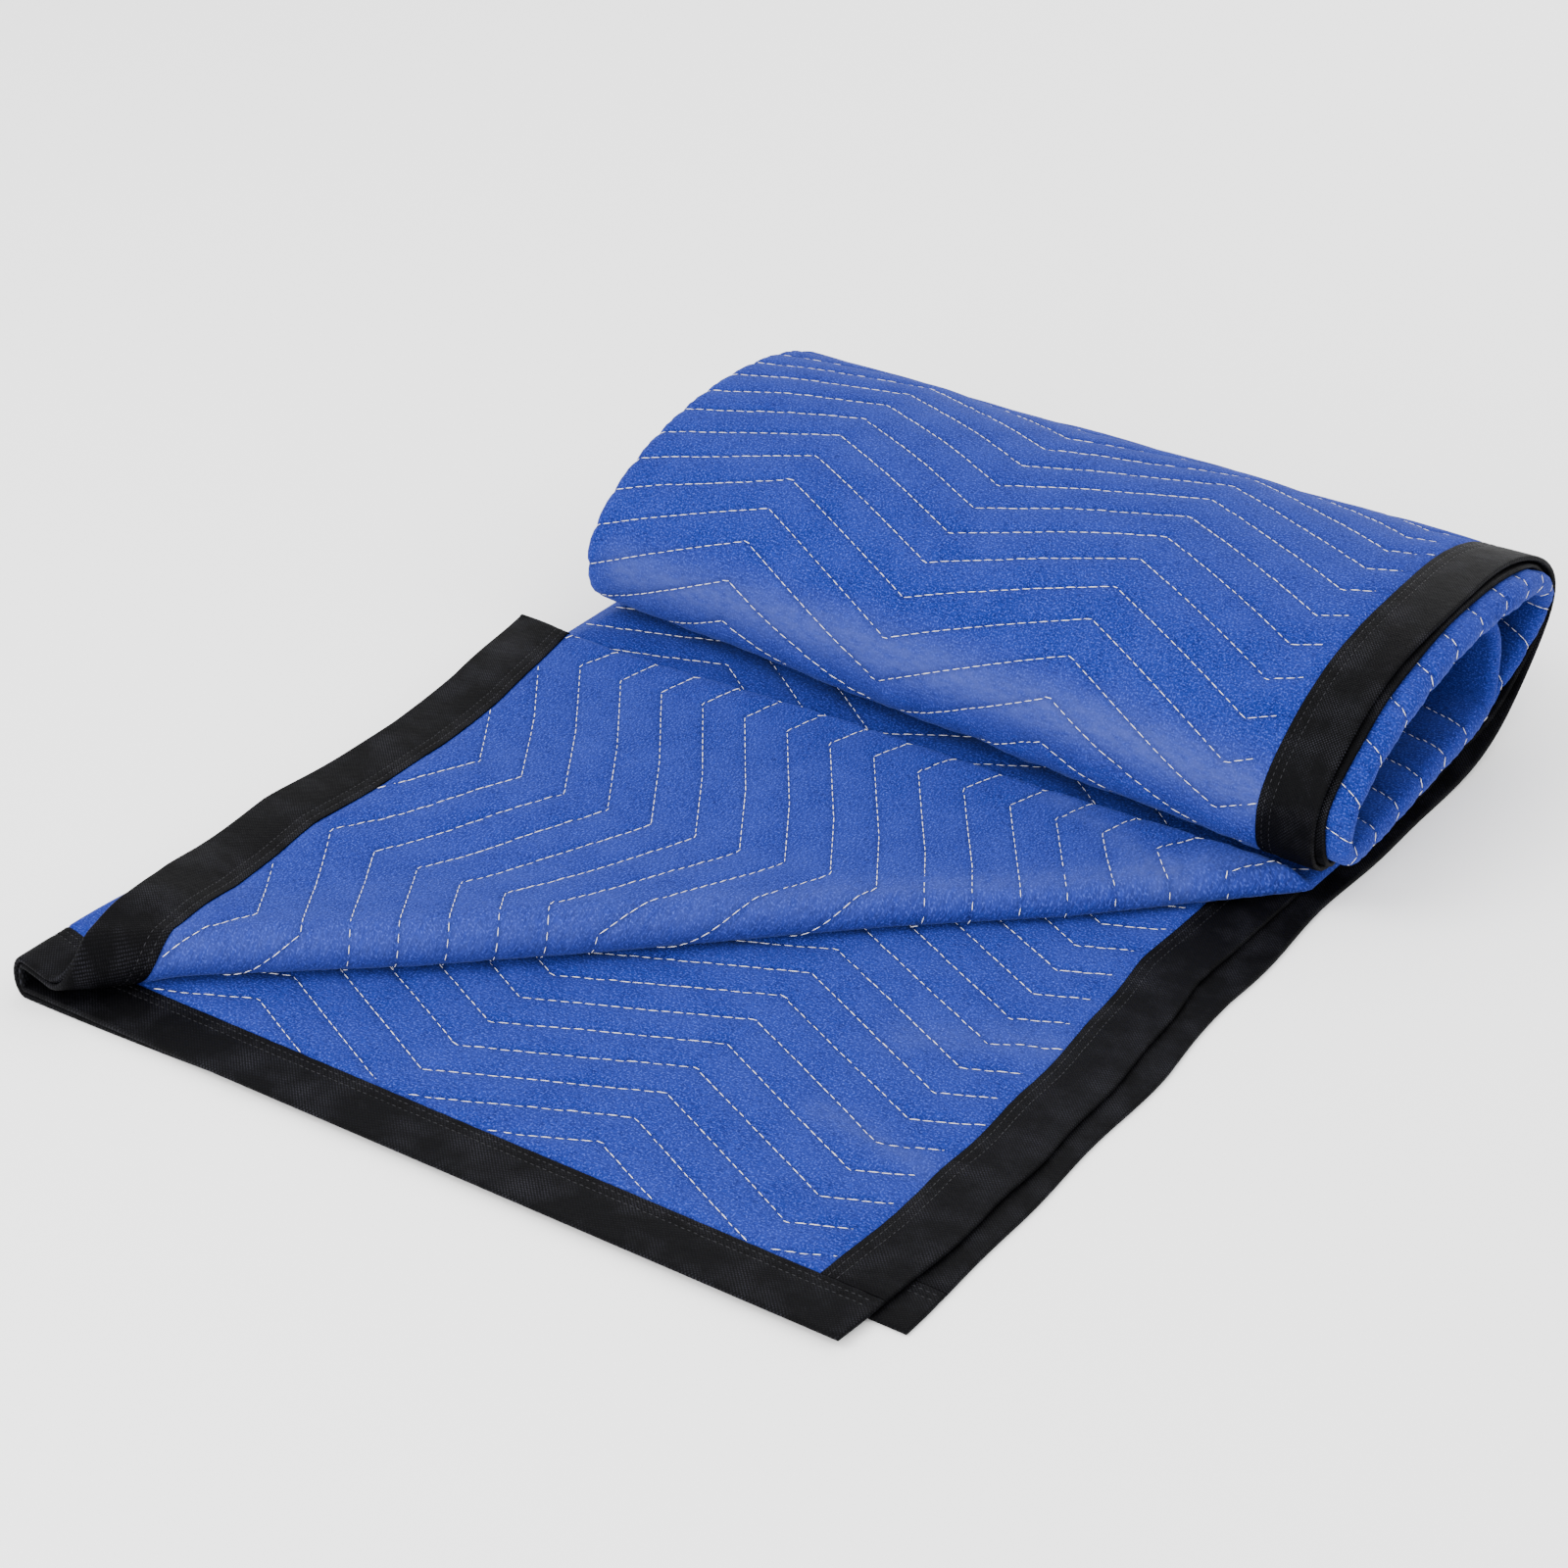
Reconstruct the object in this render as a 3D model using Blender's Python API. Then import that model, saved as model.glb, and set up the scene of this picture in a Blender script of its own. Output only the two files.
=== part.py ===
# Quilted moving blanket, folded in quarters lengthways and rolled up from its far end.
# The free end lies flat, with the upper two layers turned back along a diagonal crease.
# X runs across the folded strip, Y from the free end towards the roll, Z is up.

import math

import bpy
import numpy as np
from mathutils import Vector
from mathutils.geometry import delaunay_2d_cdt

# Size of the cloth, in metres: cut at 80 inches across the quarter folds and 72 inches along the strip,
# which the quilting draws in to a little over 70 inches
STRIP_WIDTH = 0.508
BLANKET_LENGTH = 1.79

# Cloth and layers
HALF_THICKNESS = 0.0015
LAYER_PITCH = 0.0036
GROOVE_DEPTH = 0.0008
CREST_RISE = 0.0004

# Folded edge tape: a channel round the thin edge of the cloth
TAPE_WIDTH = 0.036
TAPE_WALL = 0.0008
TAPE_HALF_THICKNESS = 0.0016
PIECE_GAP = 0.0003
EDGE_HALF_THICKNESS = 0.0005
EDGE_RAMP = 0.003

# Quilting: rows of zigzag stitching across the strip
ROW_PITCH = 0.0262
LEG_WIDTH = 0.1098
LEG_RISE = 0.0537
ROW_START = 0.0327
CORNER_X = 0.0025
QUILT_FADE = 0.02

# Folds of the strip
TURN_CENTRE = 1.5 * LAYER_PITCH
TURN_STEPS = 4
BEND_STEP = 15.0
EDGE_STATIONS = (0.12, 0.28, 0.36, 0.47)
FRONT_STATIONS = (0.10, 0.17, 0.23, 0.34, 0.40)
CREASE_STEPS = 6
SETTLE_FROM = (0.033, 0.055, 0.085, 0.120)
SETTLE_SHARE = (0.0, 0.35, 0.80, 1.0)
FOLD_RADIUS_ROLLED = 0.0054
FOLD_FADE = 0.036

# The turned-back upper pair of layers
CREASE_ANGLE = math.radians(45.0)
CREASE_POINT = (0.2258, 0.1924)
CREASE_RADIUS_SOFT = 0.0105
CREASE_RADIUS_PINCHED = 0.0056
PINCH_FROM = -0.02
PINCH_RUN = 0.24
FLAP_GAP = 0.0020
BOW_FADE = 0.08
CREASE_BOW_TABLE = (
    # along the crease, shift of the turned-back cloth away from the free end
    (-0.34, 0.010),
    (-0.22, 0.015),
    (-0.10, 0.003),
    (0.00, 0.000),
    (0.15, -0.001),
    (0.25, -0.006),
    (0.38, 0.000),
)
PAIR_SHIFT_TABLE = (
    # across the strip, how far the upper pair lies forward of the lower pair
    (0.0066, 0.000),
    (0.10, 0.015),
    (0.17, 0.030),
    (0.23, 0.040),
    (0.34, 0.043),
    (0.40, 0.050),
    (0.4827, 0.067),
    (0.54, 0.078),
)
SHIFT_ENDS = (0.42, 0.16)

# The front edges of the four layers
FRONT_EDGE = -0.007
LAYER_1_SETBACK = 0.026
SETBACK_FADE = 0.32

# The roll, given at its two ends: a leaning oval outside, and rounder turns that nest inside it
ROLL_LEFT = {"front": 0.468, "half_depth": 0.132, "half_height": 0.0585, "top_fullness": 0.0, "pitch": 0.0168}
ROLL_RIGHT = {"front": 0.427, "half_depth": 0.147, "half_height": 0.0630, "top_fullness": 0.12, "pitch": 0.0194}
BOTTOM_FULLNESS = 0.2
FRONT_ARC = 0.030
OUTERMOST_TURN, INNERMOST_TURN = -90.0, 850.0
FRONT_FULLNESS = 0.9
ROLL_LEAN = 0.012
INNER_START = 230.0
INNER_BLEND = 120.0
INNER_ARM = 0.038
INNER_SHIFT = 0.010
INNER_FULLNESS = 0.95

# Sideways place of each edge at stations along the strip, as offsets from the nominal strip
EDGE_TABLE = (
    # along, layer 1 bound edge, layer 2 bound edge, inner fold line, radius of that fold
    (0.00, 0.024, 0.005, -0.025, 0.0020),
    (0.12, 0.021, 0.009, -0.021, 0.0020),
    (0.28, 0.015, 0.000, -0.014, 0.0020),
    (0.36, 0.008, -0.010, -0.010, 0.0020),
    (0.47, 0.005, -0.011, -0.006, 0.0020),
    (0.58, 0.004, -0.008, -0.006, 0.0020),
    (0.70, 0.003, -0.002, -0.006, 0.0030),
    (0.78, 0.003, 0.000, 0.006, 0.0046),
    (0.86, 0.003, 0.000, 0.016, 0.0056),
    (0.98, 0.003, 0.000, 0.018, 0.0052),
    (1.06, 0.003, 0.000, 0.018, 0.0038),
    (1.12, 0.003, 0.000, 0.018, 0.0040),
    (1.24, -0.026, -0.030, 0.014, 0.0050),
    (1.38, -0.032, -0.036, 0.004, 0.0036),
    (1.50, -0.036, -0.040, -0.018, 0.0024),
    (1.79, -0.040, -0.044, -0.038, 0.0020),
)


def smooth(t):
    """Rises from 0 to 1 with level ends."""
    t = np.clip(t, 0.0, 1.0)
    return t * t * (3.0 - 2.0 * t)


def table_value(table, at, column=1):
    rows = np.array(table)
    return np.interp(at, rows[:, 0], rows[:, column])


# The unfolded cloth is measured by u across its whole width and s along the strip

LAYER_SPAN = STRIP_WIDTH - TURN_CENTRE
FOLD_START = STRIP_WIDTH - FOLD_RADIUS_ROLLED
PAIR_SPAN = FOLD_START - TURN_CENTRE
OUTER_TURN = math.pi * 1.5 * LAYER_PITCH
INNER_TURN = math.pi * 0.5 * LAYER_PITCH
FOLD_TURN = math.pi * FOLD_RADIUS_ROLLED
SPANS = (LAYER_SPAN, OUTER_TURN, PAIR_SPAN, FOLD_TURN, PAIR_SPAN, INNER_TURN, LAYER_SPAN)
MARKS = np.concatenate(([0.0], np.cumsum(SPANS)))
CLOTH_WIDTH = float(MARKS[-1])
LAYER_1, LAYER_4, LAYER_3, LAYER_2 = 0, 2, 4, 6
QUILTED = ((LAYER_1, 1.0), (LAYER_2, 0.0), (LAYER_3, 0.0))
ROLL_SHOWS = (0.82, 1.15)
LEVELS = [TAPE_HALF_THICKNESS + LAYER_PITCH * k for k in range(4)]
TURN_LEVEL = 0.5 * (LEVELS[0] + LEVELS[3])


def folded_section(u, s):
    """Place across the strip, height in the stack, and the outward normal there."""
    span = np.clip(np.searchsorted(MARKS, u, side="right") - 1, 0, len(SPANS) - 1)
    part = (u - MARKS[span]) / np.array(SPANS)[span]
    turn = part * math.pi
    radius = table_value(EDGE_TABLE, s, 4)
    bound_1 = STRIP_WIDTH + table_value(EDGE_TABLE, s, 1)
    bound_2 = STRIP_WIDTH + table_value(EDGE_TABLE, s, 2)
    fold_x = STRIP_WIDTH + table_value(EDGE_TABLE, s, 3) - radius
    zero = np.zeros_like(u)
    x_3 = TURN_CENTRE + (fold_x - TURN_CENTRE) * (1.0 - part)
    x_4 = TURN_CENTRE + (fold_x - TURN_CENTRE) * part
    near_fold = smooth(1.0 - (fold_x - x_4) / FOLD_FADE)
    slope = 6.0 * near_fold ** 0.5 * (1.0 - near_fold ** 0.5) / FOLD_FADE
    lift = (2.0 * radius - LAYER_PITCH) * near_fold
    tilt = (2.0 * radius - LAYER_PITCH) * slope * 0.5
    outer, inner = 1.5 * LAYER_PITCH, 0.5 * LAYER_PITCH
    rows = (
        # x, height, normal x, normal height
        (bound_1 + (TURN_CENTRE - bound_1) * part, zero + LEVELS[0], zero, zero - 1.0),
        (
            TURN_CENTRE - outer * np.sin(turn),
            TURN_LEVEL - outer * np.cos(turn),
            -np.sin(turn),
            -np.cos(turn),
        ),
        (x_4, LEVELS[3] + lift, -tilt, zero + 1.0),
        (
            fold_x + radius * np.sin(turn),
            LEVELS[2] + radius * (1.0 + np.cos(turn)),
            np.sin(turn),
            np.cos(turn),
        ),
        (x_3, zero + LEVELS[2], zero, zero - 1.0),
        (
            TURN_CENTRE - inner * np.sin(turn),
            TURN_LEVEL + inner * np.cos(turn),
            np.sin(turn),
            -np.cos(turn),
        ),
        (TURN_CENTRE + (bound_2 - TURN_CENTRE) * part, zero + LEVELS[1], zero, zero + 1.0),
    )
    picked = [np.choose(span, [row[k] for row in rows]) for k in range(4)]
    return picked, span


def turned_back(x, y, height):
    """Folds what lies beyond the diagonal crease back over the rest."""
    cosine, sine = math.cos(CREASE_ANGLE), math.sin(CREASE_ANGLE)
    along = (x - CREASE_POINT[0]) * cosine + (y - CREASE_POINT[1]) * sine
    beyond = (x - CREASE_POINT[0]) * sine - (y - CREASE_POINT[1]) * cosine
    pinch = smooth((along - PINCH_FROM) / PINCH_RUN)
    radius = CREASE_RADIUS_SOFT + (CREASE_RADIUS_PINCHED - CREASE_RADIUS_SOFT) * pinch
    middle = 0.5 * (LEVELS[2] + LEVELS[3])
    axis = middle + radius
    turn = np.clip(beyond / radius, 0.0, math.pi)
    past = np.maximum(beyond - math.pi * radius, 0.0)
    arm = axis - height
    lowest = LEVELS[3] + HALF_THICKNESS + FLAP_GAP - (2.0 * axis - LEVELS[3] - HALF_THICKNESS)
    settle = lowest * np.interp(beyond, SETTLE_FROM, SETTLE_SHARE)
    out = arm * np.sin(turn) - past
    flat = np.minimum(beyond, 0.0)
    bow = table_value(CREASE_BOW_TABLE, along) * np.clip((beyond + BOW_FADE) / BOW_FADE, 0.0, 1.0)
    bow = bow * smooth((x - TURN_CENTRE) / BOW_FADE)
    new_beyond = np.where(beyond > 0.0, out, flat) - bow
    new_height = np.where(beyond > 0.0, axis - arm * np.cos(turn) + settle, height)
    new_x = CREASE_POINT[0] + along * cosine + new_beyond * sine
    new_y = CREASE_POINT[1] + along * sine - new_beyond * cosine
    return new_x, new_y, new_height


def wraps_in(turn):
    """Wraps inside the outer one: each comes in over the half turn past the top, then holds."""
    count, rest = np.divmod((turn - 90.0) / 360.0, 1.0)
    return np.maximum(count + smooth(rest / 0.5), 0.0)


def roll_point(turn, end):
    """The outer line of the wound strip at one end of the roll, for a turn in degrees."""
    angle = np.radians(turn)
    cosine, sine = np.cos(angle), np.sin(angle)
    inner = smooth((turn - INNER_START) / INNER_BLEND)
    radius = end["half_height"] - end["pitch"] * wraps_in(turn)
    arm = (end["half_depth"] - end["half_height"]) * (1.0 - inner) + INNER_ARM * inner
    fullness = end["top_fullness"] * smooth(sine) + BOTTOM_FULLNESS * smooth(-sine)
    fullness = fullness * smooth(cosine) * (1.0 - inner) + INNER_FULLNESS * inner
    reach = np.sign(cosine) * np.abs(cosine) ** (1.0 - fullness)
    quarter = (turn + 90.0) % 360.0 - 90.0
    lean = smooth((quarter + 90.0) / 90.0) * (1.0 - smooth((quarter - 180.0) / 90.0))
    out = radius * cosine + arm * reach
    under = (sine < 0.0) & (cosine < 0.0)
    straight = end["half_depth"] - 0.5 * end["pitch"] - FRONT_ARC
    full = FRONT_ARC * cosine - straight * np.abs(cosine) ** (1.0 - FRONT_FULLNESS)
    out = np.where(under, full * (1.0 - inner) + out * inner, out)
    y = end["front"] + end["half_depth"] + INNER_SHIFT * inner + out
    z = end["half_height"] + radius * sine + ROLL_LEAN * cosine * lean * (1.0 - 0.5 * inner)
    return y, z


def roll_tables():
    """Length along the strip half way across it, and the outer line at both ends, turn by turn."""
    turn = np.linspace(OUTERMOST_TURN, INNERMOST_TURN, 40001)
    left, right = roll_point(turn, ROLL_LEFT), roll_point(turn, ROLL_RIGHT)
    y, z = 0.5 * (left[0] + right[0]), 0.5 * (left[1] + right[1])
    steps = np.hypot(np.diff(y), np.diff(z))
    return y[0] + np.concatenate(([0.0], np.cumsum(steps))), left, right


ROLL_LENGTHS, LEFT_LINE, RIGHT_LINE = roll_tables()


def strip_line(at, across):
    """The strip's lowest line, flat up to the roll and then wound, 0 to 1 from left to right."""
    both = [[np.interp(at, ROLL_LENGTHS, line[k]) for line in (LEFT_LINE, RIGHT_LINE)] for k in (0, 1)]
    y, z = [left + (right - left) * across for left, right in both]
    start = LEFT_LINE[0][0] + (RIGHT_LINE[0][0] - LEFT_LINE[0][0]) * across
    flat = at < ROLL_LENGTHS[0]
    return np.where(flat, at * start / ROLL_LENGTHS[0], y), np.where(flat, 0.0, z)


def wound(x, y, height):
    """Winds the flat strip on to the roll."""
    across = np.clip(x / STRIP_WIDTH, 0.0, 1.05)
    step = 0.002
    y0, z0 = strip_line(y - step, across)
    y1, z1 = strip_line(y + step, across)
    ty, tz = y1 - y0, z1 - z0
    size = np.hypot(ty, tz)
    ty, tz = ty / size, tz / size
    py, pz = strip_line(y, across)
    return x, py - height * tz, pz + height * ty


def placed(u, s, w):
    """World point of the cloth at u, s and distance w from its middle surface."""
    (x, height, nx, nh), span = folded_section(u, s)
    x, height = x + nx * w, height + nh * w
    upper = (span >= LAYER_4) & (span <= LAYER_3)
    side = np.clip((x - TURN_CENTRE) / STRIP_WIDTH, 0.0, 1.0)
    setback = LAYER_1_SETBACK * smooth(side) * (1.0 - smooth(s / SETBACK_FADE))
    forward = np.where(upper, pair_shift(x, s), 0.0)
    y = FRONT_EDGE + s - forward + np.where(span == LAYER_1, setback, 0.0)
    turned = turned_back(x, y, height)
    flat = [np.where(upper, a, b) for a, b in zip(turned, (x, y, height))]
    return np.stack(wound(*flat), axis=-1)


# Lines along which the flat cloth is divided before it is folded


def layer_x(span, x):
    """The u of a place across the strip on one of the four layers."""
    if span == LAYER_1:
        return MARKS[0] + STRIP_WIDTH - x
    if span == LAYER_4:
        return MARKS[2] + x - TURN_CENTRE
    if span == LAYER_3:
        return MARKS[4] + FOLD_START - x
    return MARKS[6] + x - TURN_CENTRE


def zigzag(x, parity):
    """Rise of a row of quilting at a place across the strip."""
    wave = np.abs(((x - CORNER_X) / LEG_WIDTH + parity) % 2.0 - 1.0)
    return LEG_RISE * (1.0 - wave)


def pair_shift(x, s):
    """How far the upper pair lies forward of the lower pair, which ends under the roll."""
    return table_value(PAIR_SHIFT_TABLE, x) * (1.0 - smooth((s - SHIFT_ENDS[0]) / SHIFT_ENDS[1]))


def crease_side(x, y):
    """Distance past the start of the diagonal crease, towards the free end."""
    run, rise = math.cos(CREASE_ANGLE), math.sin(CREASE_ANGLE)
    return (x - CREASE_POINT[0]) * rise - (y - CREASE_POINT[1]) * run


def quilted_share(span, x, s):
    """1 where the stitched face of a layer shows, 0 where it lies hidden."""
    if span == LAYER_1:
        return smooth((s - ROLL_SHOWS[0]) / QUILT_FADE) * smooth((ROLL_SHOWS[1] - s) / QUILT_FADE)
    if span == LAYER_2:
        return smooth(crease_side(x, FRONT_EDGE + s) / QUILT_FADE)
    y = FRONT_EDGE + s - pair_shift(x, s)
    return smooth((crease_side(x, y) - math.pi * CREASE_RADIUS_SOFT) / QUILT_FADE)


def quilt_lines():
    """Rows of the stitching and the crests between them, leg by leg, where they show."""
    lines = []
    first, last = TURN_CENTRE, STRIP_WIDTH - TAPE_WIDTH - EDGE_RAMP
    corners = [CORNER_X + LEG_WIDTH * k for k in range(5)]
    for span, parity in QUILTED:
        stops = [first] + corners[1:] + [last if span != LAYER_3 else FOLD_START]
        for half_row in range(int(2 * ROLL_SHOWS[1] / ROW_PITCH)):
            base = ROW_START + 0.5 * ROW_PITCH * half_row
            for a, b in zip(stops, stops[1:]):
                leg = [(x, base - LEG_RISE + zigzag(x, parity)) for x in np.linspace(a, b, 25)]
                leg = [(x, s) for x, s in leg if s > TAPE_WIDTH + EDGE_RAMP]
                leg = [(x, s) for x, s in leg if quilted_share(span, x, s) > 0.0]
                if len(leg) > 3:
                    lines.append([(float(layer_x(span, x)), float(s)) for x, s in (leg[0], leg[-1])])
    return lines


def relief(points):
    """How far the stitched face stands above or below the plain cloth."""
    u, s = points[:, 0], points[:, 1]
    total = np.zeros(len(points))
    for span, parity in QUILTED:
        on = (u > MARKS[span]) & (u < MARKS[span + 1])
        x = STRIP_WIDTH - u if span == LAYER_1 else u - MARKS[span] + TURN_CENTRE
        if span == LAYER_3:
            x = FOLD_START - u + MARKS[span]
        phase = ((s - ROW_START - zigzag(x, parity)) / ROW_PITCH) % 1.0
        height = -GROOVE_DEPTH + (GROOVE_DEPTH + CREST_RISE) * (1.0 - np.abs(2.0 * phase - 1.0))
        shown = quilted_share(span, x, s)
        across, along = edge_distance(points)
        inside = smooth((np.minimum(across, along) - TAPE_WIDTH - EDGE_RAMP) / EDGE_RAMP)
        total += np.where(on, height * shown * inside, 0.0)
    return total


def straight_lines():
    """Columns along the strip, and cross lines that follow the bends of the roll."""
    lines = []
    columns = [0.0, TAPE_WALL, TAPE_WALL + PIECE_GAP, TAPE_WIDTH, TAPE_WIDTH + PIECE_GAP]
    columns.append(TAPE_WIDTH + EDGE_RAMP)
    across = list(columns) + [CLOTH_WIDTH - c for c in columns]
    for span in (1, 3, 5):
        steps = TURN_STEPS if span != 5 else TURN_STEPS - 2
        across += [MARKS[span] + SPANS[span] * k / steps for k in range(steps + 1)]
    across += [layer_x(LAYER_4, FOLD_START - FOLD_FADE * f) for f in (0.35, 0.7, 1.05)]
    across += [layer_x(LAYER_3, FOLD_START - FOLD_FADE * f) for f in (1.05,)]
    for u in across:
        lines.append(((u, 0.0), (u, BLANKET_LENGTH)))
    along = list(columns) + [BLANKET_LENGTH - c for c in columns]
    for s in along:
        lines.append(((0.0, s), (CLOTH_WIDTH, s)))
    return lines


def bend_stations():
    """Places along the strip where the roll has turned by one more step."""
    at = np.arange(0.40, BLANKET_LENGTH - TAPE_WIDTH - 0.008, 0.001)
    y0, z0 = strip_line(at - 0.001, 0.5)
    y1, z1 = strip_line(at + 0.001, 0.5)
    turn = np.unwrap(np.arctan2(z1 - z0, y1 - y0))
    wanted = np.arange(0.05, turn.max(), math.radians(BEND_STEP))
    return np.interp(wanted, turn, at) - FRONT_EDGE


def cross_lines():
    """Lines across the cloth at each bend, and short ones where its bound edges change course."""
    lines = [((0.0, s), (CLOTH_WIDTH, s)) for s in bend_stations()]
    reach = TAPE_WIDTH + EDGE_RAMP
    for s in EDGE_STATIONS:
        lines.append(((0.0, s), (reach, s)))
        lines.append(((CLOTH_WIDTH - reach, s), (CLOTH_WIDTH, s)))
        lines.append(((MARKS[3] - FOLD_FADE, s), (MARKS[4] + FOLD_FADE, s)))
    for x in FRONT_STATIONS:
        for span in (LAYER_1, LAYER_4, LAYER_3):
            u = float(layer_x(span, x))
            lines.append(((u, 0.0), (u, reach)))
    return lines


def pair_place(span, x, y):
    """The flat cloth's u and s for a place on one of the upper two layers."""
    s = y - FRONT_EDGE
    for _ in range(12):
        s = y - FRONT_EDGE + pair_shift(x, s)
    fold_x = STRIP_WIDTH + table_value(EDGE_TABLE, s, 3) - table_value(EDGE_TABLE, s, 4)
    part = (x - TURN_CENTRE) / (fold_x - TURN_CENTRE)
    if span == LAYER_3:
        part = 1.0 - part
    return MARKS[span] + part * SPANS[span], s


def clipped(row, inside):
    """The part of a finely divided line that lies inside, ending exactly on the limit."""
    kept = []
    for a, b in zip(row, row[1:]):
        at_a, at_b = inside(a), inside(b)
        if at_a >= 0.0 and not kept:
            kept.append(a)
        if (at_a >= 0.0) != (at_b >= 0.0):
            part = at_a / (at_a - at_b)
            kept.append((a[0] + (b[0] - a[0]) * part, a[1] + (b[1] - a[1]) * part))
        elif at_b >= 0.0:
            kept.append(b)
    return kept


def crease_lines():
    """Lines along the diagonal crease on the two layers that it turns back."""
    lines = []
    bend = math.pi * CREASE_RADIUS_SOFT
    offsets = [bend * k / CREASE_STEPS for k in range(CREASE_STEPS + 1)]
    run, rise = math.cos(CREASE_ANGLE), math.sin(CREASE_ANGLE)
    for offset in [-BOW_FADE] + offsets + list(SETTLE_FROM[1:]):
        px = CREASE_POINT[0] + offset * rise
        py = CREASE_POINT[1] - offset * run
        for span in (LAYER_4, LAYER_3):
            first, last = MARKS[span], MARKS[span + 1]
            row = []
            for x in np.linspace(TURN_CENTRE, STRIP_WIDTH + 0.03, 145):
                u, s = pair_place(span, x, py + (x - px) * rise / run)
                row.append((float(u), float(s)))
            row = clipped(row, lambda p: min(p[1], p[0] - first, last - p[0]))
            row = [row[0]] + row[16:-8:16] + [row[-1]]
            lines += list(zip(row, row[1:]))
            if span == LAYER_4:
                lines.append(((last, row[-1][1]), (MARKS[LAYER_3], row[-1][1])))
    return lines


def divided_cloth(lines):
    """Triangles of the flat cloth that hold every line as edges."""
    points, edges = [], []
    for first, second in lines:
        edges.append((len(points), len(points) + 1))
        points += [Vector([round(c, 6) for c in end]) for end in (first, second)]
    found = delaunay_2d_cdt(points, edges, [], 0, 2e-5)
    return np.array([tuple(p) for p in found[0]]), np.array(found[2])


def edge_distance(points):
    """Distance in from the nearest cut edge of the cloth, across and along."""
    across = np.minimum(points[:, 0], CLOTH_WIDTH - points[:, 0])
    along = np.minimum(points[:, 1], BLANKET_LENGTH - points[:, 1])
    return across, along


def body_thickness(points):
    """Half the thickness of the cloth: thin inside the tape, full past it."""
    across, along = edge_distance(points)
    inside = np.minimum(across, along) - TAPE_WIDTH - PIECE_GAP
    ramp = smooth(inside / (EDGE_RAMP - PIECE_GAP))
    return EDGE_HALF_THICKNESS + (HALF_THICKNESS - EDGE_HALF_THICKNESS) * ramp


def closed_solid(name, points, slabs, levels, material):
    """A closed mesh from triangles of the flat cloth, filled between given levels, then folded."""
    count = len(points)
    solid_faces = []
    cells = [set(map(tuple, cell)) for cell in slabs]
    for k, cell in enumerate(cells):
        owned = {}
        for a, b, c in cell:
            for edge in ((a, b), (b, c), (c, a)):
                owned[edge] = True
        below = cells[k - 1] if k else set()
        above = cells[k + 1] if k + 1 < len(cells) else set()
        low, high = k * count, (k + 1) * count
        for a, b, c in cell:
            if (a, b, c) not in above:
                solid_faces.append((high + a, high + b, high + c))
            if (a, b, c) not in below:
                solid_faces.append((low + c, low + b, low + a))
            for p, q in ((a, b), (b, c), (c, a)):
                if (q, p) not in owned:
                    solid_faces.append((low + p, low + q, high + q))
                    solid_faces.append((low + p, high + q, high + p))
    used = sorted({v for face in solid_faces for v in face})
    place = {v: i for i, v in enumerate(used)}
    used = np.array(used)
    flat = points[used % count]
    w = np.array([levels[v // count][v % count] for v in used])
    world = placed(flat[:, 0], flat[:, 1], w)
    mesh = bpy.data.meshes.new(name)
    mesh.from_pydata(world.tolist(), [], [[place[v] for v in f] for f in solid_faces])
    mesh.validate()
    mesh.materials.append(material)
    for polygon in mesh.polygons:
        polygon.use_smooth = True
    made = bpy.data.objects.new(name, mesh)
    bpy.context.scene.collection.objects.link(made)
    return made


def fabric(name, colour, roughness):
    material = bpy.data.materials.new(name)
    material.use_nodes = True
    shader = material.node_tree.nodes["Principled BSDF"]
    shader.inputs["Base Color"].default_value = (*colour, 1.0)
    shader.inputs["Roughness"].default_value = roughness
    shader.inputs["Metallic"].default_value = 0.0
    return material


def build_panel(points, faces, centres, material):
    margin = TAPE_WALL + PIECE_GAP
    across, along = edge_distance(centres)
    inside = (across > margin) & (along > margin)
    half = body_thickness(points)
    top = half + relief(points)
    return closed_solid("quilted_panel", points, [faces[inside]], [-half, top], material)


def build_tape(name, points, faces, centres, where, material):
    across, along = edge_distance(centres)
    wall = where & ((across < TAPE_WALL) | (along < TAPE_WALL))
    outer = np.full(len(points), TAPE_HALF_THICKNESS)
    inner = outer - TAPE_WALL
    slabs = [faces[where], faces[wall], faces[where]]
    return closed_solid(name, points, slabs, [-outer, -inner, inner, outer], material)


def centre_on_base():
    """Puts the origin under the middle of everything, at the height of the floor."""
    meshes = [obj.data for obj in bpy.context.scene.objects]
    corners = np.array([v.co for mesh in meshes for v in mesh.vertices])
    low, high = corners.min(axis=0), corners.max(axis=0)
    move = Vector((-0.5 * (low[0] + high[0]), -0.5 * (low[1] + high[1]), -low[2]))
    for mesh in meshes:
        for vertex in mesh.vertices:
            vertex.co += move


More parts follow.
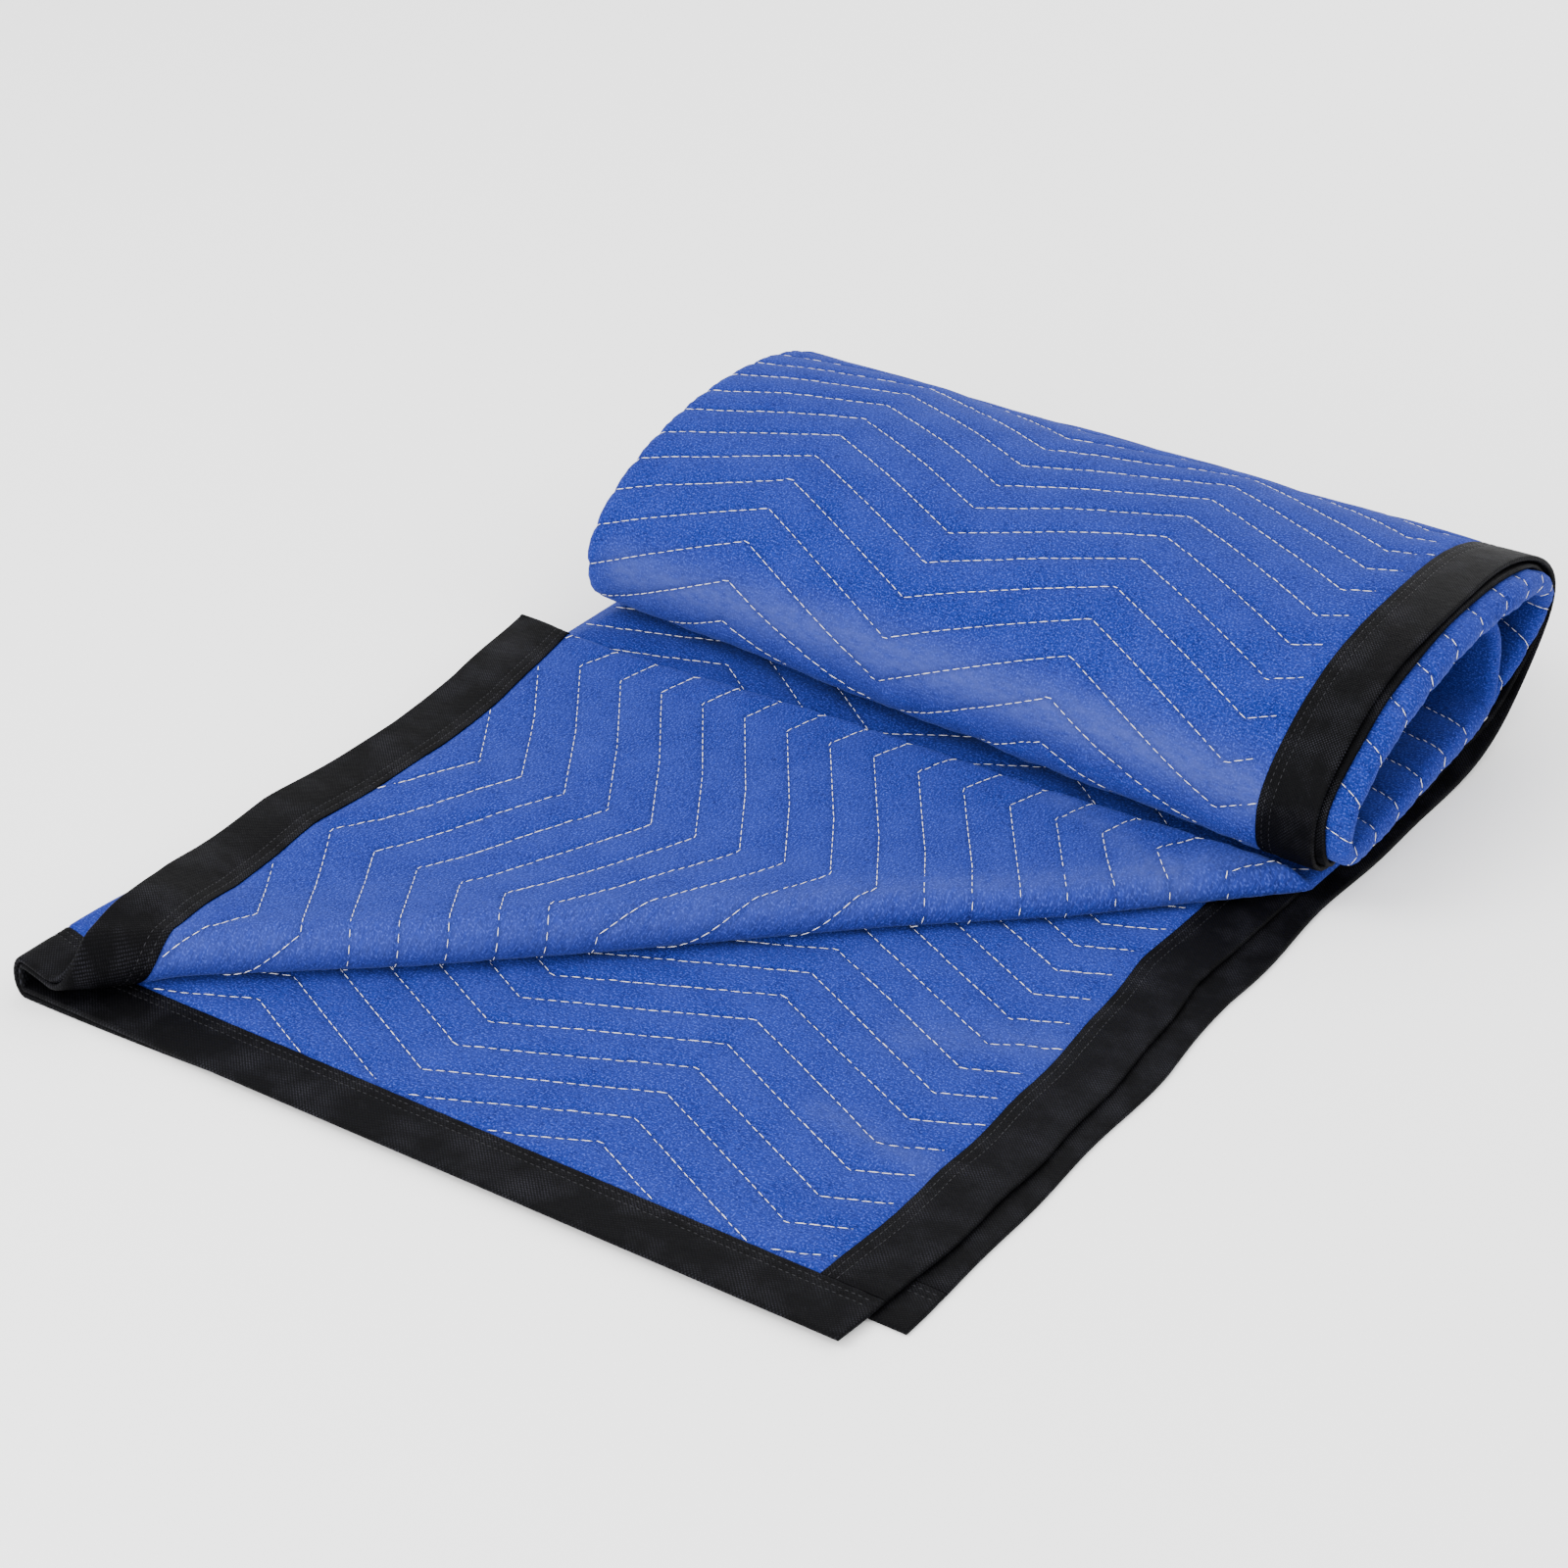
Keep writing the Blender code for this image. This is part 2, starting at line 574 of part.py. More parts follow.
def main():
    for obj in list(bpy.data.objects):
        bpy.data.objects.remove(obj)
    cloth = fabric("quilted_blue_cloth", (0.045, 0.125, 0.48), 0.85)
    tape = fabric("black_edge_tape", (0.011, 0.011, 0.014), 0.7)
    lines = straight_lines() + cross_lines() + crease_lines() + quilt_lines()
    points, faces = divided_cloth(lines)
    corners = points[faces]
    first, second = corners[:, 1] - corners[:, 0], corners[:, 2] - corners[:, 0]
    turned = first[:, 0] * second[:, 1] - first[:, 1] * second[:, 0] < 0
    faces[turned] = faces[turned][:, ::-1]
    centres = corners.mean(axis=1)
    build_panel(points, faces, centres, cloth)
    u, s = centres[:, 0], centres[:, 1]
    ends = TAPE_WIDTH
    between = (s > ends + PIECE_GAP) & (s < BLANKET_LENGTH - ends - PIECE_GAP)
    zones = (
        # name, cells
        ("end_tape_front", s < ends),
        ("end_tape_inner", s > BLANKET_LENGTH - ends),
        ("side_tape_lower", between & (u < TAPE_WIDTH)),
        ("side_tape_upper", between & (u > CLOTH_WIDTH - TAPE_WIDTH)),
    )
    for name, where in zones:
        build_tape(name, points, faces, centres, where, tape)
    centre_on_base()


main()
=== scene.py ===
import logging
import math
from dataclasses import dataclass, field
from enum import Enum

import bpy
import numpy as np
from mathutils import Matrix, Vector
from mathutils.geometry import delaunay_2d_cdt


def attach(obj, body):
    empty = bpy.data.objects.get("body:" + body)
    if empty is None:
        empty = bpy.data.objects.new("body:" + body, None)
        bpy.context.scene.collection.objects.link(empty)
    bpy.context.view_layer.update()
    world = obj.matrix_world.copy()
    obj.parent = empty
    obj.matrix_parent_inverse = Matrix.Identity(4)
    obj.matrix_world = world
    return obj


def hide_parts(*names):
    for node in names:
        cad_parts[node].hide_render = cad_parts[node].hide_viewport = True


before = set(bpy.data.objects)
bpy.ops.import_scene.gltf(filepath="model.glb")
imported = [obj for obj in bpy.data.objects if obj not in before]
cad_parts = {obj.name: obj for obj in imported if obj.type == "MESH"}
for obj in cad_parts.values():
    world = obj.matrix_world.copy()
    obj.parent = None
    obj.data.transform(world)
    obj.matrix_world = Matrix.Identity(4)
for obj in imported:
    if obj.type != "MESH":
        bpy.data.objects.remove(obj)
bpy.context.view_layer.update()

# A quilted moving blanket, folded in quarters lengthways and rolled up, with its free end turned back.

log = logging.getLogger("moving_blanket")

Table = tuple[tuple[float, ...], ...]


class Span(Enum):
    """The seven stretches of the cloth across its width, from one bound edge to the other."""

    LAYER_1 = 0
    OUTER_TURN = 1
    LAYER_4 = 2
    FOLD = 3
    LAYER_3 = 4
    INNER_TURN = 5
    LAYER_2 = 6


def smooth(t: np.ndarray | float) -> np.ndarray:
    """Rises from 0 to 1 with level ends.

    Args:
        t: The share of the way, any value.

    Returns:
        The eased share, 0 to 1.
    """
    t = np.clip(t, 0.0, 1.0)
    return t * t * (3.0 - 2.0 * t)


def table_value(table: Table, at: np.ndarray | float, column: int = 1) -> np.ndarray:
    """Reads one column of a table at any place along its first column.

    Args:
        table: Rows with the place first.
        at: Where to read.
        column: Which column.

    Returns:
        The interpolated values.
    """
    rows = np.array(table)
    return np.interp(at, rows[:, 0], rows[:, column])


def ripple(a: np.ndarray, b: np.ndarray, length: float, seed: int) -> np.ndarray:
    """A gentle uneven surface between about -1 and 1.

    Args:
        a: First coordinate, in metres.
        b: Second coordinate, in metres.
        length: Usual distance from crest to crest, in metres.
        seed: Picks the pattern.

    Returns:
        The height of the pattern at each place.
    """
    pick = np.random.default_rng(seed)
    total = np.zeros(np.broadcast(a, b).shape)
    waves = 6
    for _ in range(waves):
        way = pick.uniform(0.0, math.pi)
        wave = length * pick.uniform(0.7, 1.5)
        start = pick.uniform(0.0, 2.0 * math.pi)
        total += np.sin(2.0 * math.pi * (a * math.cos(way) + b * math.sin(way)) / wave + start)
    return total / math.sqrt(waves)


def grid_places(first: np.ndarray, second: np.ndarray) -> tuple[np.ndarray, np.ndarray]:
    """Both coordinates of every place of a grid.

    Args:
        first: Its places one way.
        second: Its places the other way.

    Returns:
        The first and second coordinate, as flat arrays.
    """
    pair = np.meshgrid(first, second, indexing="ij")
    return pair[0].ravel(), pair[1].ravel()


def added(name: str, data: bpy.types.ID) -> bpy.types.Object:
    """Puts new data in the scene.

    Args:
        name: The object's name.
        data: A mesh, a light or a camera.

    Returns:
        The object that holds it.
    """
    made = bpy.data.objects.new(name, data)
    bpy.context.scene.collection.objects.link(made)
    return made


@dataclass(frozen=True)
class ClothSizes:
    """The blanket's cloth and how its layers stack, in metres."""

    strip_width: float = 0.508
    length: float = 1.79
    half_thickness: float = 0.0015
    layer_pitch: float = 0.0036
    fold_radius: float = 0.0054
    fold_fade: float = 0.036


@dataclass(frozen=True)
class TapeSizes:
    """The folded edge tape, in metres."""

    width: float = 0.036
    wall: float = 0.0008
    half_thickness: float = 0.0016
    gap: float = 0.0003
    cloth_inside: float = 0.0003
    ramp: float = 0.003
    stitch_rows: tuple[float, ...] = (0.0322, 0.0275)
    stitch_depth: float = 0.00036
    stitch_spread: float = 0.0011
    pucker: float = 0.00012
    pucker_start: float = 0.020
    pucker_length: float = 0.013
    lip: float = 0.00025
    lip_width: float = 0.0007
    thinnest: float = 0.00028


@dataclass(frozen=True)
class QuiltSizes:
    """The quilting's relief and stitches in metres, and its rows' length for each metre across."""

    slant: float = 1.11
    groove: float = 0.0009
    crest: float = 0.0005
    stitch_period: float = 0.0065
    pucker: float = 0.00022
    pucker_length: float = 0.016
    stand_in: float = 0.006


@dataclass(frozen=True)
class Unevenness:
    """Height in metres of a soft unevenness, its usual length and its pattern."""

    height: float
    length: float
    seed: int

    def at(self, a: np.ndarray, b: np.ndarray) -> np.ndarray:
        """The height at each place."""
        return self.height * ripple(a, b, self.length, self.seed)


@dataclass(frozen=True)
class CreaseSizes:
    """The diagonal crease along which the upper pair of layers is turned back, in metres."""

    angle: float = math.radians(45.0)
    point: tuple[float, float] = (0.2258, 0.1924)
    radius_soft: float = 0.0105
    radius_pinched: float = 0.0056
    flap_gap: float = 0.0020
    # Painted sheen along the crease: its distance past the crease, its width and its strength
    sheen_line: float = 0.026
    sheen_width: float = 0.014
    sheen_strength: float = 0.4
    bow_fade: float = 0.08
    bow: Table = (
        # along the crease, shift away from the free end
        (-0.34, 0.010),
        (-0.22, 0.015),
        (-0.10, 0.003),
        (0.00, 0.000),
        (0.15, -0.001),
        (0.25, -0.006),
        (0.38, 0.000),
    )
    settle: Table = (
        # past the crease, share of the way down on to the layer below
        (0.033, 0.0),
        (0.055, 0.35),
        (0.085, 0.80),
        (0.120, 1.0),
    )
    shift: Table = (
        # across the strip, how far the upper pair lies forward
        (0.0066, 0.000),
        (0.10, 0.015),
        (0.17, 0.030),
        (0.23, 0.040),
        (0.34, 0.043),
        (0.40, 0.050),
        (0.4827, 0.067),
        (0.54, 0.078),
    )
    shift_ends: tuple[float, float] = (0.42, 0.16)


@dataclass(frozen=True)
class EndOval:
    """The outer wrap's shape at one end of the roll, in metres."""

    front: float
    half_depth: float
    half_height: float
    top_fullness: float
    pitch: float


@dataclass(frozen=True)
class RollSizes:
    """The roll, in metres and degrees."""

    left: EndOval = EndOval(0.468, 0.132, 0.0585, 0.0, 0.0168)
    right: EndOval = EndOval(0.427, 0.147, 0.0630, 0.12, 0.0194)
    bottom_fullness: float = 0.2
    lean: float = 0.012
    front_arc: float = 0.030
    front_fullness: float = 0.9
    inner_start: float = 230.0
    inner_blend: float = 120.0
    inner_arm: float = 0.038
    inner_shift: float = 0.010
    inner_fullness: float = 0.95


@dataclass(frozen=True)
class Wrinkle:
    """A ridge or a dent in the cloth, at a listed place."""

    span: Span
    start: tuple[float, float]
    end: tuple[float, float]
    width: float
    height: float


WRINKLES = (
    # the roll's lower front
    Wrinkle(Span.LAYER_1, (0.170, 1.085), (0.215, 1.108), 0.0045, -0.0018),
    Wrinkle(Span.LAYER_1, (0.190, 1.075), (0.225, 1.112), 0.004, -0.0016),
    Wrinkle(Span.LAYER_1, (0.205, 1.070), (0.236, 1.104), 0.004, 0.0014),
    Wrinkle(Span.LAYER_1, (0.290, 1.100), (0.330, 1.118), 0.005, 0.0013),
    Wrinkle(Span.LAYER_1, (0.300, 1.085), (0.352, 1.108), 0.0045, -0.0015),
    # where the crease is pinched under the roll
    Wrinkle(Span.LAYER_3, (0.500, 0.399), (0.455, 0.419), 0.0035, -0.0018),
    Wrinkle(Span.LAYER_3, (0.502, 0.424), (0.460, 0.447), 0.0035, 0.0018),
    Wrinkle(Span.LAYER_3, (0.487, 0.432), (0.456, 0.456), 0.0035, -0.0018),
    Wrinkle(Span.LAYER_3, (0.500, 0.438), (0.466, 0.458), 0.0035, 0.0015),
    Wrinkle(Span.LAYER_3, (0.486, 0.457), (0.450, 0.467), 0.0035, -0.0018),
    Wrinkle(Span.LAYER_3, (0.502, 0.466), (0.464, 0.470), 0.0035, 0.0015),
    # the near end, by the side tape
    Wrinkle(Span.LAYER_2, (0.405, 0.140), (0.468, 0.127), 0.0045, 0.0014),
    Wrinkle(Span.LAYER_2, (0.410, 0.151), (0.462, 0.142), 0.004, -0.0010),
    Wrinkle(Span.LAYER_2, (0.420, 0.262), (0.468, 0.249), 0.0045, 0.0012),
)


@dataclass(frozen=True)
class SheenBand:
    """A line along which the cloth is painted paler, a painted sheen where it bulges towards the light."""

    span: Span
    # place across the strip, place along it
    line: Table
    width: float
    strength: float


# Painted sheen: paler bands on the roll's lower front, beside the pinched crease and on the near end by the
# side tape, where the cloth bulges towards the light
PAINTED_SHEEN_BANDS = (
    SheenBand(
        Span.LAYER_1,
        ((0.030, 1.080), (0.140, 1.073), (0.260, 1.070), (0.373, 1.068), (0.500, 1.074)),
        width=0.016,
        strength=0.8,
    ),
    SheenBand(Span.LAYER_3, ((0.455, 0.462), (0.470, 0.440), (0.484, 0.415), (0.494, 0.385)), 0.022, 0.35),
    SheenBand(Span.LAYER_2, ((0.400, 0.225), (0.440, 0.250), (0.475, 0.262)), 0.016, 0.3),
    SheenBand(Span.LAYER_2, ((0.400, 0.146), (0.470, 0.134)), 0.010, 0.35),
)


@dataclass
class FoldedCloth:
    """Carries the flat cloth to where it lies: folded in four, turned back at the free end and rolled."""

    cloth: ClothSizes = field(default_factory=ClothSizes)
    tape: TapeSizes = field(default_factory=TapeSizes)
    quilt: QuiltSizes = field(default_factory=QuiltSizes)
    crease: CreaseSizes = field(default_factory=CreaseSizes)
    roll: RollSizes = field(default_factory=RollSizes)
    front_edge: float = -0.007
    layer_1_setback: float = 0.026
    setback_fade: float = 0.32
    corner_lift: float = 0.011
    corner_across: tuple[float, float] = (0.005, 0.055)
    corner_along: tuple[float, float] = (0.035, 0.150)
    end_curl: float = 0.005
    end_curl_fade: float = 0.075
    origin: tuple[float, float] = (0.25706428, 0.36087441)
    edge_sway: tuple[Unevenness, Unevenness] = (Unevenness(0.0011, 0.11, 5), Unevenness(0.0011, 0.09, 6))
    flap_sway: Unevenness = Unevenness(0.0007, 0.12, 11)
    roll_sway: Unevenness = Unevenness(0.0006, 0.13, 12)
    roll_puff: float = 0.00024
    edges: Table = (
        # along, layer 1 bound edge, layer 2 bound edge, inner fold line, radius of that fold
        (0.00, 0.024, 0.005, -0.025, 0.0020),
        (0.12, 0.021, 0.009, -0.021, 0.0020),
        (0.28, 0.015, 0.000, -0.014, 0.0020),
        (0.36, 0.008, -0.010, -0.010, 0.0020),
        (0.47, 0.005, -0.011, -0.006, 0.0020),
        (0.58, 0.004, -0.008, -0.006, 0.0020),
        (0.70, 0.003, -0.002, -0.006, 0.0030),
        (0.78, 0.003, 0.001, 0.006, 0.0046),
        (0.86, 0.003, 0.004, 0.016, 0.0056),
        (0.98, 0.003, 0.007, 0.018, 0.0052),
        (1.06, 0.003, 0.008, 0.018, 0.0038),
        (1.12, 0.003, 0.007, 0.018, 0.0040),
        (1.24, -0.026, -0.028, 0.008, 0.0050),
        (1.38, -0.032, -0.036, -0.001, 0.0036),
        (1.50, -0.036, -0.040, -0.022, 0.0024),
        (1.79, -0.040, -0.044, -0.038, 0.0020),
    )

    def __post_init__(self) -> None:
        """Works out the spans across the cloth and the line along which it is wound."""
        pitch = self.cloth.layer_pitch
        self.turn_centre = 1.5 * pitch
        self.fold_start = self.cloth.strip_width - self.cloth.fold_radius
        layer = self.cloth.strip_width - self.turn_centre
        pair = self.fold_start - self.turn_centre
        fold = math.pi * self.cloth.fold_radius
        turns = (math.pi * 1.5 * pitch, math.pi * 0.5 * pitch)
        self.spans = np.array([layer, turns[0], pair, fold, pair, turns[1], layer])
        self.marks = np.concatenate(([0.0], np.cumsum(self.spans)))
        self.width = float(self.marks[-1])
        self.levels = [self.tape.half_thickness + pitch * k for k in range(4)]
        turn = np.linspace(-90.0, 850.0, 40001)
        self.left_line = self.roll_point(turn, self.roll.left)
        self.right_line = self.roll_point(turn, self.roll.right)
        y = 0.5 * (self.left_line[0] + self.right_line[0])
        z = 0.5 * (self.left_line[1] + self.right_line[1])
        steps = np.hypot(np.diff(y), np.diff(z))
        self.lengths = y[0] + np.concatenate(([0.0], np.cumsum(steps)))

    def roll_point(self, turn: np.ndarray, end: EndOval) -> tuple[np.ndarray, np.ndarray]:
        """The outer line of the wound strip at one end of the roll.

        Args:
            turn: How far round, in degrees.
            end: Which end's oval.

        Returns:
            Its y and z.
        """
        roll = self.roll
        angle = np.radians(turn)
        cosine, sine = np.cos(angle), np.sin(angle)
        inner = smooth((turn - roll.inner_start) / roll.inner_blend)
        count, rest = np.divmod((turn - 90.0) / 360.0, 1.0)
        radius = end.half_height - end.pitch * np.maximum(count + smooth(rest / 0.5), 0.0)
        arm = (end.half_depth - end.half_height) * (1.0 - inner) + roll.inner_arm * inner
        fullness = end.top_fullness * smooth(sine) + roll.bottom_fullness * smooth(-sine)
        fullness = fullness * smooth(cosine) * (1.0 - inner) + roll.inner_fullness * inner
        reach = np.sign(cosine) * np.abs(cosine) ** (1.0 - fullness)
        quarter = (turn + 90.0) % 360.0 - 90.0
        lean = smooth((quarter + 90.0) / 90.0) * (1.0 - smooth((quarter - 180.0) / 90.0))
        out = radius * cosine + arm * reach
        under = (sine < 0.0) & (cosine < 0.0)
        straight = end.half_depth - 0.5 * end.pitch - roll.front_arc
        full = roll.front_arc * cosine - straight * np.abs(cosine) ** (1.0 - roll.front_fullness)
        out = np.where(under, full * (1.0 - inner) + out * inner, out)
        y = end.front + end.half_depth + roll.inner_shift * inner + out
        z = end.half_height + radius * sine + roll.lean * cosine * lean * (1.0 - 0.5 * inner)
        return y, z

    def strip_line(self, at: np.ndarray, across: np.ndarray | float) -> tuple[np.ndarray, np.ndarray]:
        """The strip's lowest line, flat up to the roll and then wound.

        Args:
            at: Length along the strip.
            across: 0 at the left end of the roll and 1 at the right.

        Returns:
            Its y and z.
        """
        both = [
            [np.interp(at, self.lengths, line[k]) for line in (self.left_line, self.right_line)]
            for k in (0, 1)
        ]
        y, z = [left + (right - left) * across for left, right in both]
        first, last = self.left_line[0][0], self.right_line[0][0]
        start = first + (last - first) * across
        flat = at < self.lengths[0]
        return np.where(flat, at * start / self.lengths[0], y), np.where(flat, 0.0, z)

    def section(self, u: np.ndarray, s: np.ndarray) -> tuple[list[np.ndarray], np.ndarray]:
        """The cloth's fold across the strip.

        Args:
            u: Place across the flat cloth.
            s: Place along it.

        Returns:
            x, height, the outward normal's two parts, and the span each place is on.
        """
        span = np.clip(np.searchsorted(self.marks, u, side="right") - 1, 0, len(self.spans) - 1)
        part = (u - self.marks[span]) / self.spans[span]
        turn = part * math.pi
        pitch, levels = self.cloth.layer_pitch, self.levels
        radius = table_value(self.edges, s, 4)
        sway = [edge.at(s, 0.0 * s) for edge in self.edge_sway]
        bound_1 = self.cloth.strip_width + table_value(self.edges, s, 1) + sway[0]
        bound_2 = self.cloth.strip_width + table_value(self.edges, s, 2) + sway[1]
        fold_x = self.cloth.strip_width + table_value(self.edges, s, 3) - radius
        centre = self.turn_centre
        zero = np.zeros_like(u)
        x_3 = centre + (fold_x - centre) * (1.0 - part)
        x_4 = centre + (fold_x - centre) * part
        near = smooth(1.0 - (fold_x - x_4) / self.cloth.fold_fade)
        slope = 6.0 * near**0.5 * (1.0 - near**0.5) / self.cloth.fold_fade
        lift = (2.0 * radius - pitch) * near
        tilt = (2.0 * radius - pitch) * slope * 0.5
        outer, inner = 1.5 * pitch, 0.5 * pitch
        middle = 0.5 * (levels[0] + levels[3])
        sine, cosine = np.sin(turn), np.cos(turn)
        rows = (
            # x, height, normal x, normal height
            (bound_1 + (centre - bound_1) * part, zero + levels[0], zero, zero - 1.0),
            (centre - outer * sine, middle - outer * cosine, -sine, -cosine),
            (x_4, levels[3] + lift, -tilt, zero + 1.0),
            (fold_x + radius * sine, levels[2] + radius * (1.0 + cosine), sine, cosine),
            (x_3, zero + levels[2], zero, zero - 1.0),
            (centre - inner * sine, middle + inner * cosine, sine, -cosine),
            (centre + (bound_2 - centre) * part, zero + levels[1], zero, zero + 1.0),
        )
        return [np.choose(span, [row[k] for row in rows]) for k in range(4)], span

    def pair_shift(self, x: np.ndarray, s: np.ndarray) -> np.ndarray:
        """How far the upper pair lies forward of the lower pair, which ends under the roll."""
        first, reach = self.crease.shift_ends
        return table_value(self.crease.shift, x) * (1.0 - smooth((s - first) / reach))

    def crease_side(self, x: np.ndarray, y: np.ndarray) -> np.ndarray:
        """Distance past the start of the diagonal crease, towards the free end."""
        cosine, sine = math.cos(self.crease.angle), math.sin(self.crease.angle)
        return (x - self.crease.point[0]) * sine - (y - self.crease.point[1]) * cosine

    def turned_back(
        self, x: np.ndarray, y: np.ndarray, height: np.ndarray
    ) -> tuple[np.ndarray, np.ndarray, np.ndarray]:
        """Folds what lies beyond the diagonal crease back over the rest.

        Args:
            x: Place across the strip.
            y: Place along the strip.
            height: Height above the floor.

        Returns:
            The three after folding.
        """
        made = self.crease
        cosine, sine = math.cos(made.angle), math.sin(made.angle)
        along = (x - made.point[0]) * cosine + (y - made.point[1]) * sine
        beyond = self.crease_side(x, y)
        pinch = smooth((along + 0.02) / 0.24)
        radius = made.radius_soft + (made.radius_pinched - made.radius_soft) * pinch
        axis = 0.5 * (self.levels[2] + self.levels[3]) + radius
        turn = np.clip(beyond / radius, 0.0, math.pi)
        past = np.maximum(beyond - math.pi * radius, 0.0)
        arm = axis - height
        face = self.levels[3] + self.cloth.half_thickness
        lowest = face + made.flap_gap - (2.0 * axis - face)
        bow = table_value(made.bow, along)
        bow = bow * np.clip((beyond + made.bow_fade) / made.bow_fade, 0.0, 1.0)
        bow = bow * smooth((x - self.turn_centre) / made.bow_fade)
        new = np.where(beyond > 0.0, arm * np.sin(turn) - past, np.minimum(beyond, 0.0)) - bow
        settle = lowest * table_value(made.settle, beyond)
        raised = np.where(beyond > 0.0, axis - arm * np.cos(turn) + settle, height)
        new_x = made.point[0] + along * cosine + new * sine
        new_y = made.point[1] + along * sine - new * cosine
        return new_x, new_y, raised

    def wound(self, x: np.ndarray, y: np.ndarray, height: np.ndarray) -> np.ndarray:
        """Winds the flat strip on to the roll.

        Args:
            x: Place across the strip.
            y: Place along the strip.
            height: Height in the strip's stack.

        Returns:
            World points, one a row.
        """
        across = np.clip(x / self.cloth.strip_width, 0.0, 1.05)
        step = 0.002
        y0, z0 = self.strip_line(y - step, across)
        y1, z1 = self.strip_line(y + step, across)
        size = np.hypot(y1 - y0, z1 - z0)
        ty, tz = (y1 - y0) / size, (z1 - z0) / size
        py, pz = self.strip_line(y, across)
        place = np.stack((x, py - height * tz, pz + height * ty), axis=-1)
        return place - np.array((self.origin[0], self.origin[1], 0.0))

    def placed(self, u: np.ndarray, s: np.ndarray, w: np.ndarray) -> np.ndarray:
        """World points of the cloth.

        Args:
            u: Place across the flat cloth.
            s: Place along it.
            w: Distance out from its middle surface.

        Returns:
            World points, one a row.
        """
        (x, height, nx, nh), span = self.section(u, s)
        w = w + self.sway(u, s, span, x)
        x, height = x + nx * w, height + nh * w
        upper = (span >= Span.LAYER_4.value) & (span <= Span.LAYER_3.value)
        side = np.clip((x - self.turn_centre) / self.cloth.strip_width, 0.0, 1.0)
        setback = self.layer_1_setback * smooth(side) * (1.0 - smooth(s / self.setback_fade))
        forward = np.where(upper, self.pair_shift(x, s), 0.0)
        y = self.front_edge + s - forward + np.where(span == Span.LAYER_1.value, setback, 0.0)
        turned = self.turned_back(x, y, height)
        flat = [np.where(upper, a, b) for a, b in zip(turned, (x, y, height))]
        curl = (1.0 - smooth(s / self.end_curl_fade)) * smooth((self.crease_side(x, y) - 0.03) / 0.03)
        flat[2] = flat[2] + np.where(upper, self.end_curl * curl, 0.0)
        flat[2] = flat[2] + self.raised(u, span, flat[0], flat[1])
        return self.wound(*flat)

    def raised(self, u: np.ndarray, span: np.ndarray, x: np.ndarray, y: np.ndarray) -> np.ndarray:
        """How far the upper pair stands up at the free end's left corner, where it gapes open.

        Args:
            u: Place across the flat cloth.
            span: The span each place is on.
            x: Place across the strip.
            y: Place along the strip.

        Returns:
            The height added.
        """
        part = smooth((u - self.marks[span]) / self.spans[span])
        whole, none = np.ones_like(part), np.zeros_like(part)
        share = np.choose(span, [none, part, whole, whole, whole, 1.0 - part, none])
        (x_from, x_fade), (y_from, y_fade) = self.corner_across, self.corner_along
        across = 1.0 - smooth((x - x_from) / x_fade)
        along = 1.0 - smooth((y - y_from) / y_fade)
        return self.corner_lift * share * across * along

    def sway(self, u: np.ndarray, s: np.ndarray, span: np.ndarray, x: np.ndarray) -> np.ndarray:
        """Soft unevenness of the whole cloth, larger where nothing lies on it.

        Args:
            u: Place across the flat cloth; not used.
            s: Place along it.
            span: The span each place is on.
            x: Place across the strip.

        Returns:
            Distance outwards.
        """
        y = self.front_edge + s - self.pair_shift(x, s)
        past = self.crease_side(x, y)
        flap = (span == Span.LAYER_3.value) | (span == Span.LAYER_4.value)
        flap_share = np.where(flap, smooth((past - 0.03) / 0.05), 0.0)
        wrap = np.where(span == Span.LAYER_1.value, smooth((s - 0.62) / 0.08), 0.0)
        wrap = wrap * smooth((1.2 - s) / 0.06) * smooth(x / 0.03)
        return flap_share * self.flap_sway.at(x, s) + wrap * (self.roll_sway.at(x, s) + self.roll_puff)

    def layer_u(self, span: Span, x: np.ndarray | float) -> np.ndarray:
        """The u of a place across the strip on one of the four layers.

        Args:
            span: The layer.
            x: Place across the strip.

        Returns:
            Place across the flat cloth.
        """
        start = self.marks[span.value]
        if span is Span.LAYER_1:
            return start + self.cloth.strip_width - x
        if span is Span.LAYER_3:
            return start + self.fold_start - x
        return start + x - self.turn_centre

    def layer_x(self, span: Span, u: np.ndarray) -> np.ndarray:
        """The place across the strip of a u on one of the four layers.

        Args:
            span: The layer.
            u: Place across the flat cloth.

        Returns:
            Place across the strip.
        """
        start = self.marks[span.value]
        if span is Span.LAYER_1:
            return self.cloth.strip_width - (u - start)
        if span is Span.LAYER_3:
            return self.fold_start - (u - start)
        return u - start + self.turn_centre

    def on_span(self, span: Span, u: np.ndarray) -> np.ndarray:
        """Whether places lie on one span of the cloth."""
        return (u > self.marks[span.value]) & (u < self.marks[span.value + 1])

    def edge_distance(self, u: np.ndarray, s: np.ndarray) -> np.ndarray:
        """Distance in from the nearest cut edge of the cloth."""
        across = np.minimum(u, self.width - u)
        return np.minimum(across, np.minimum(s, self.cloth.length - s))


@dataclass(frozen=True)
class QuiltedFace:
    """A stretch of the cloth whose stitched face shows, and the zigzag rows on it, in metres."""

    span: Span
    row_start: float
    row_pitch: float
    # place across the strip, how far a row has risen along it
    zigzag: Table

    def rise(self, x: np.ndarray) -> np.ndarray:
        """How far a row has risen along the strip at a place across it."""
        return table_value(self.zigzag, x)


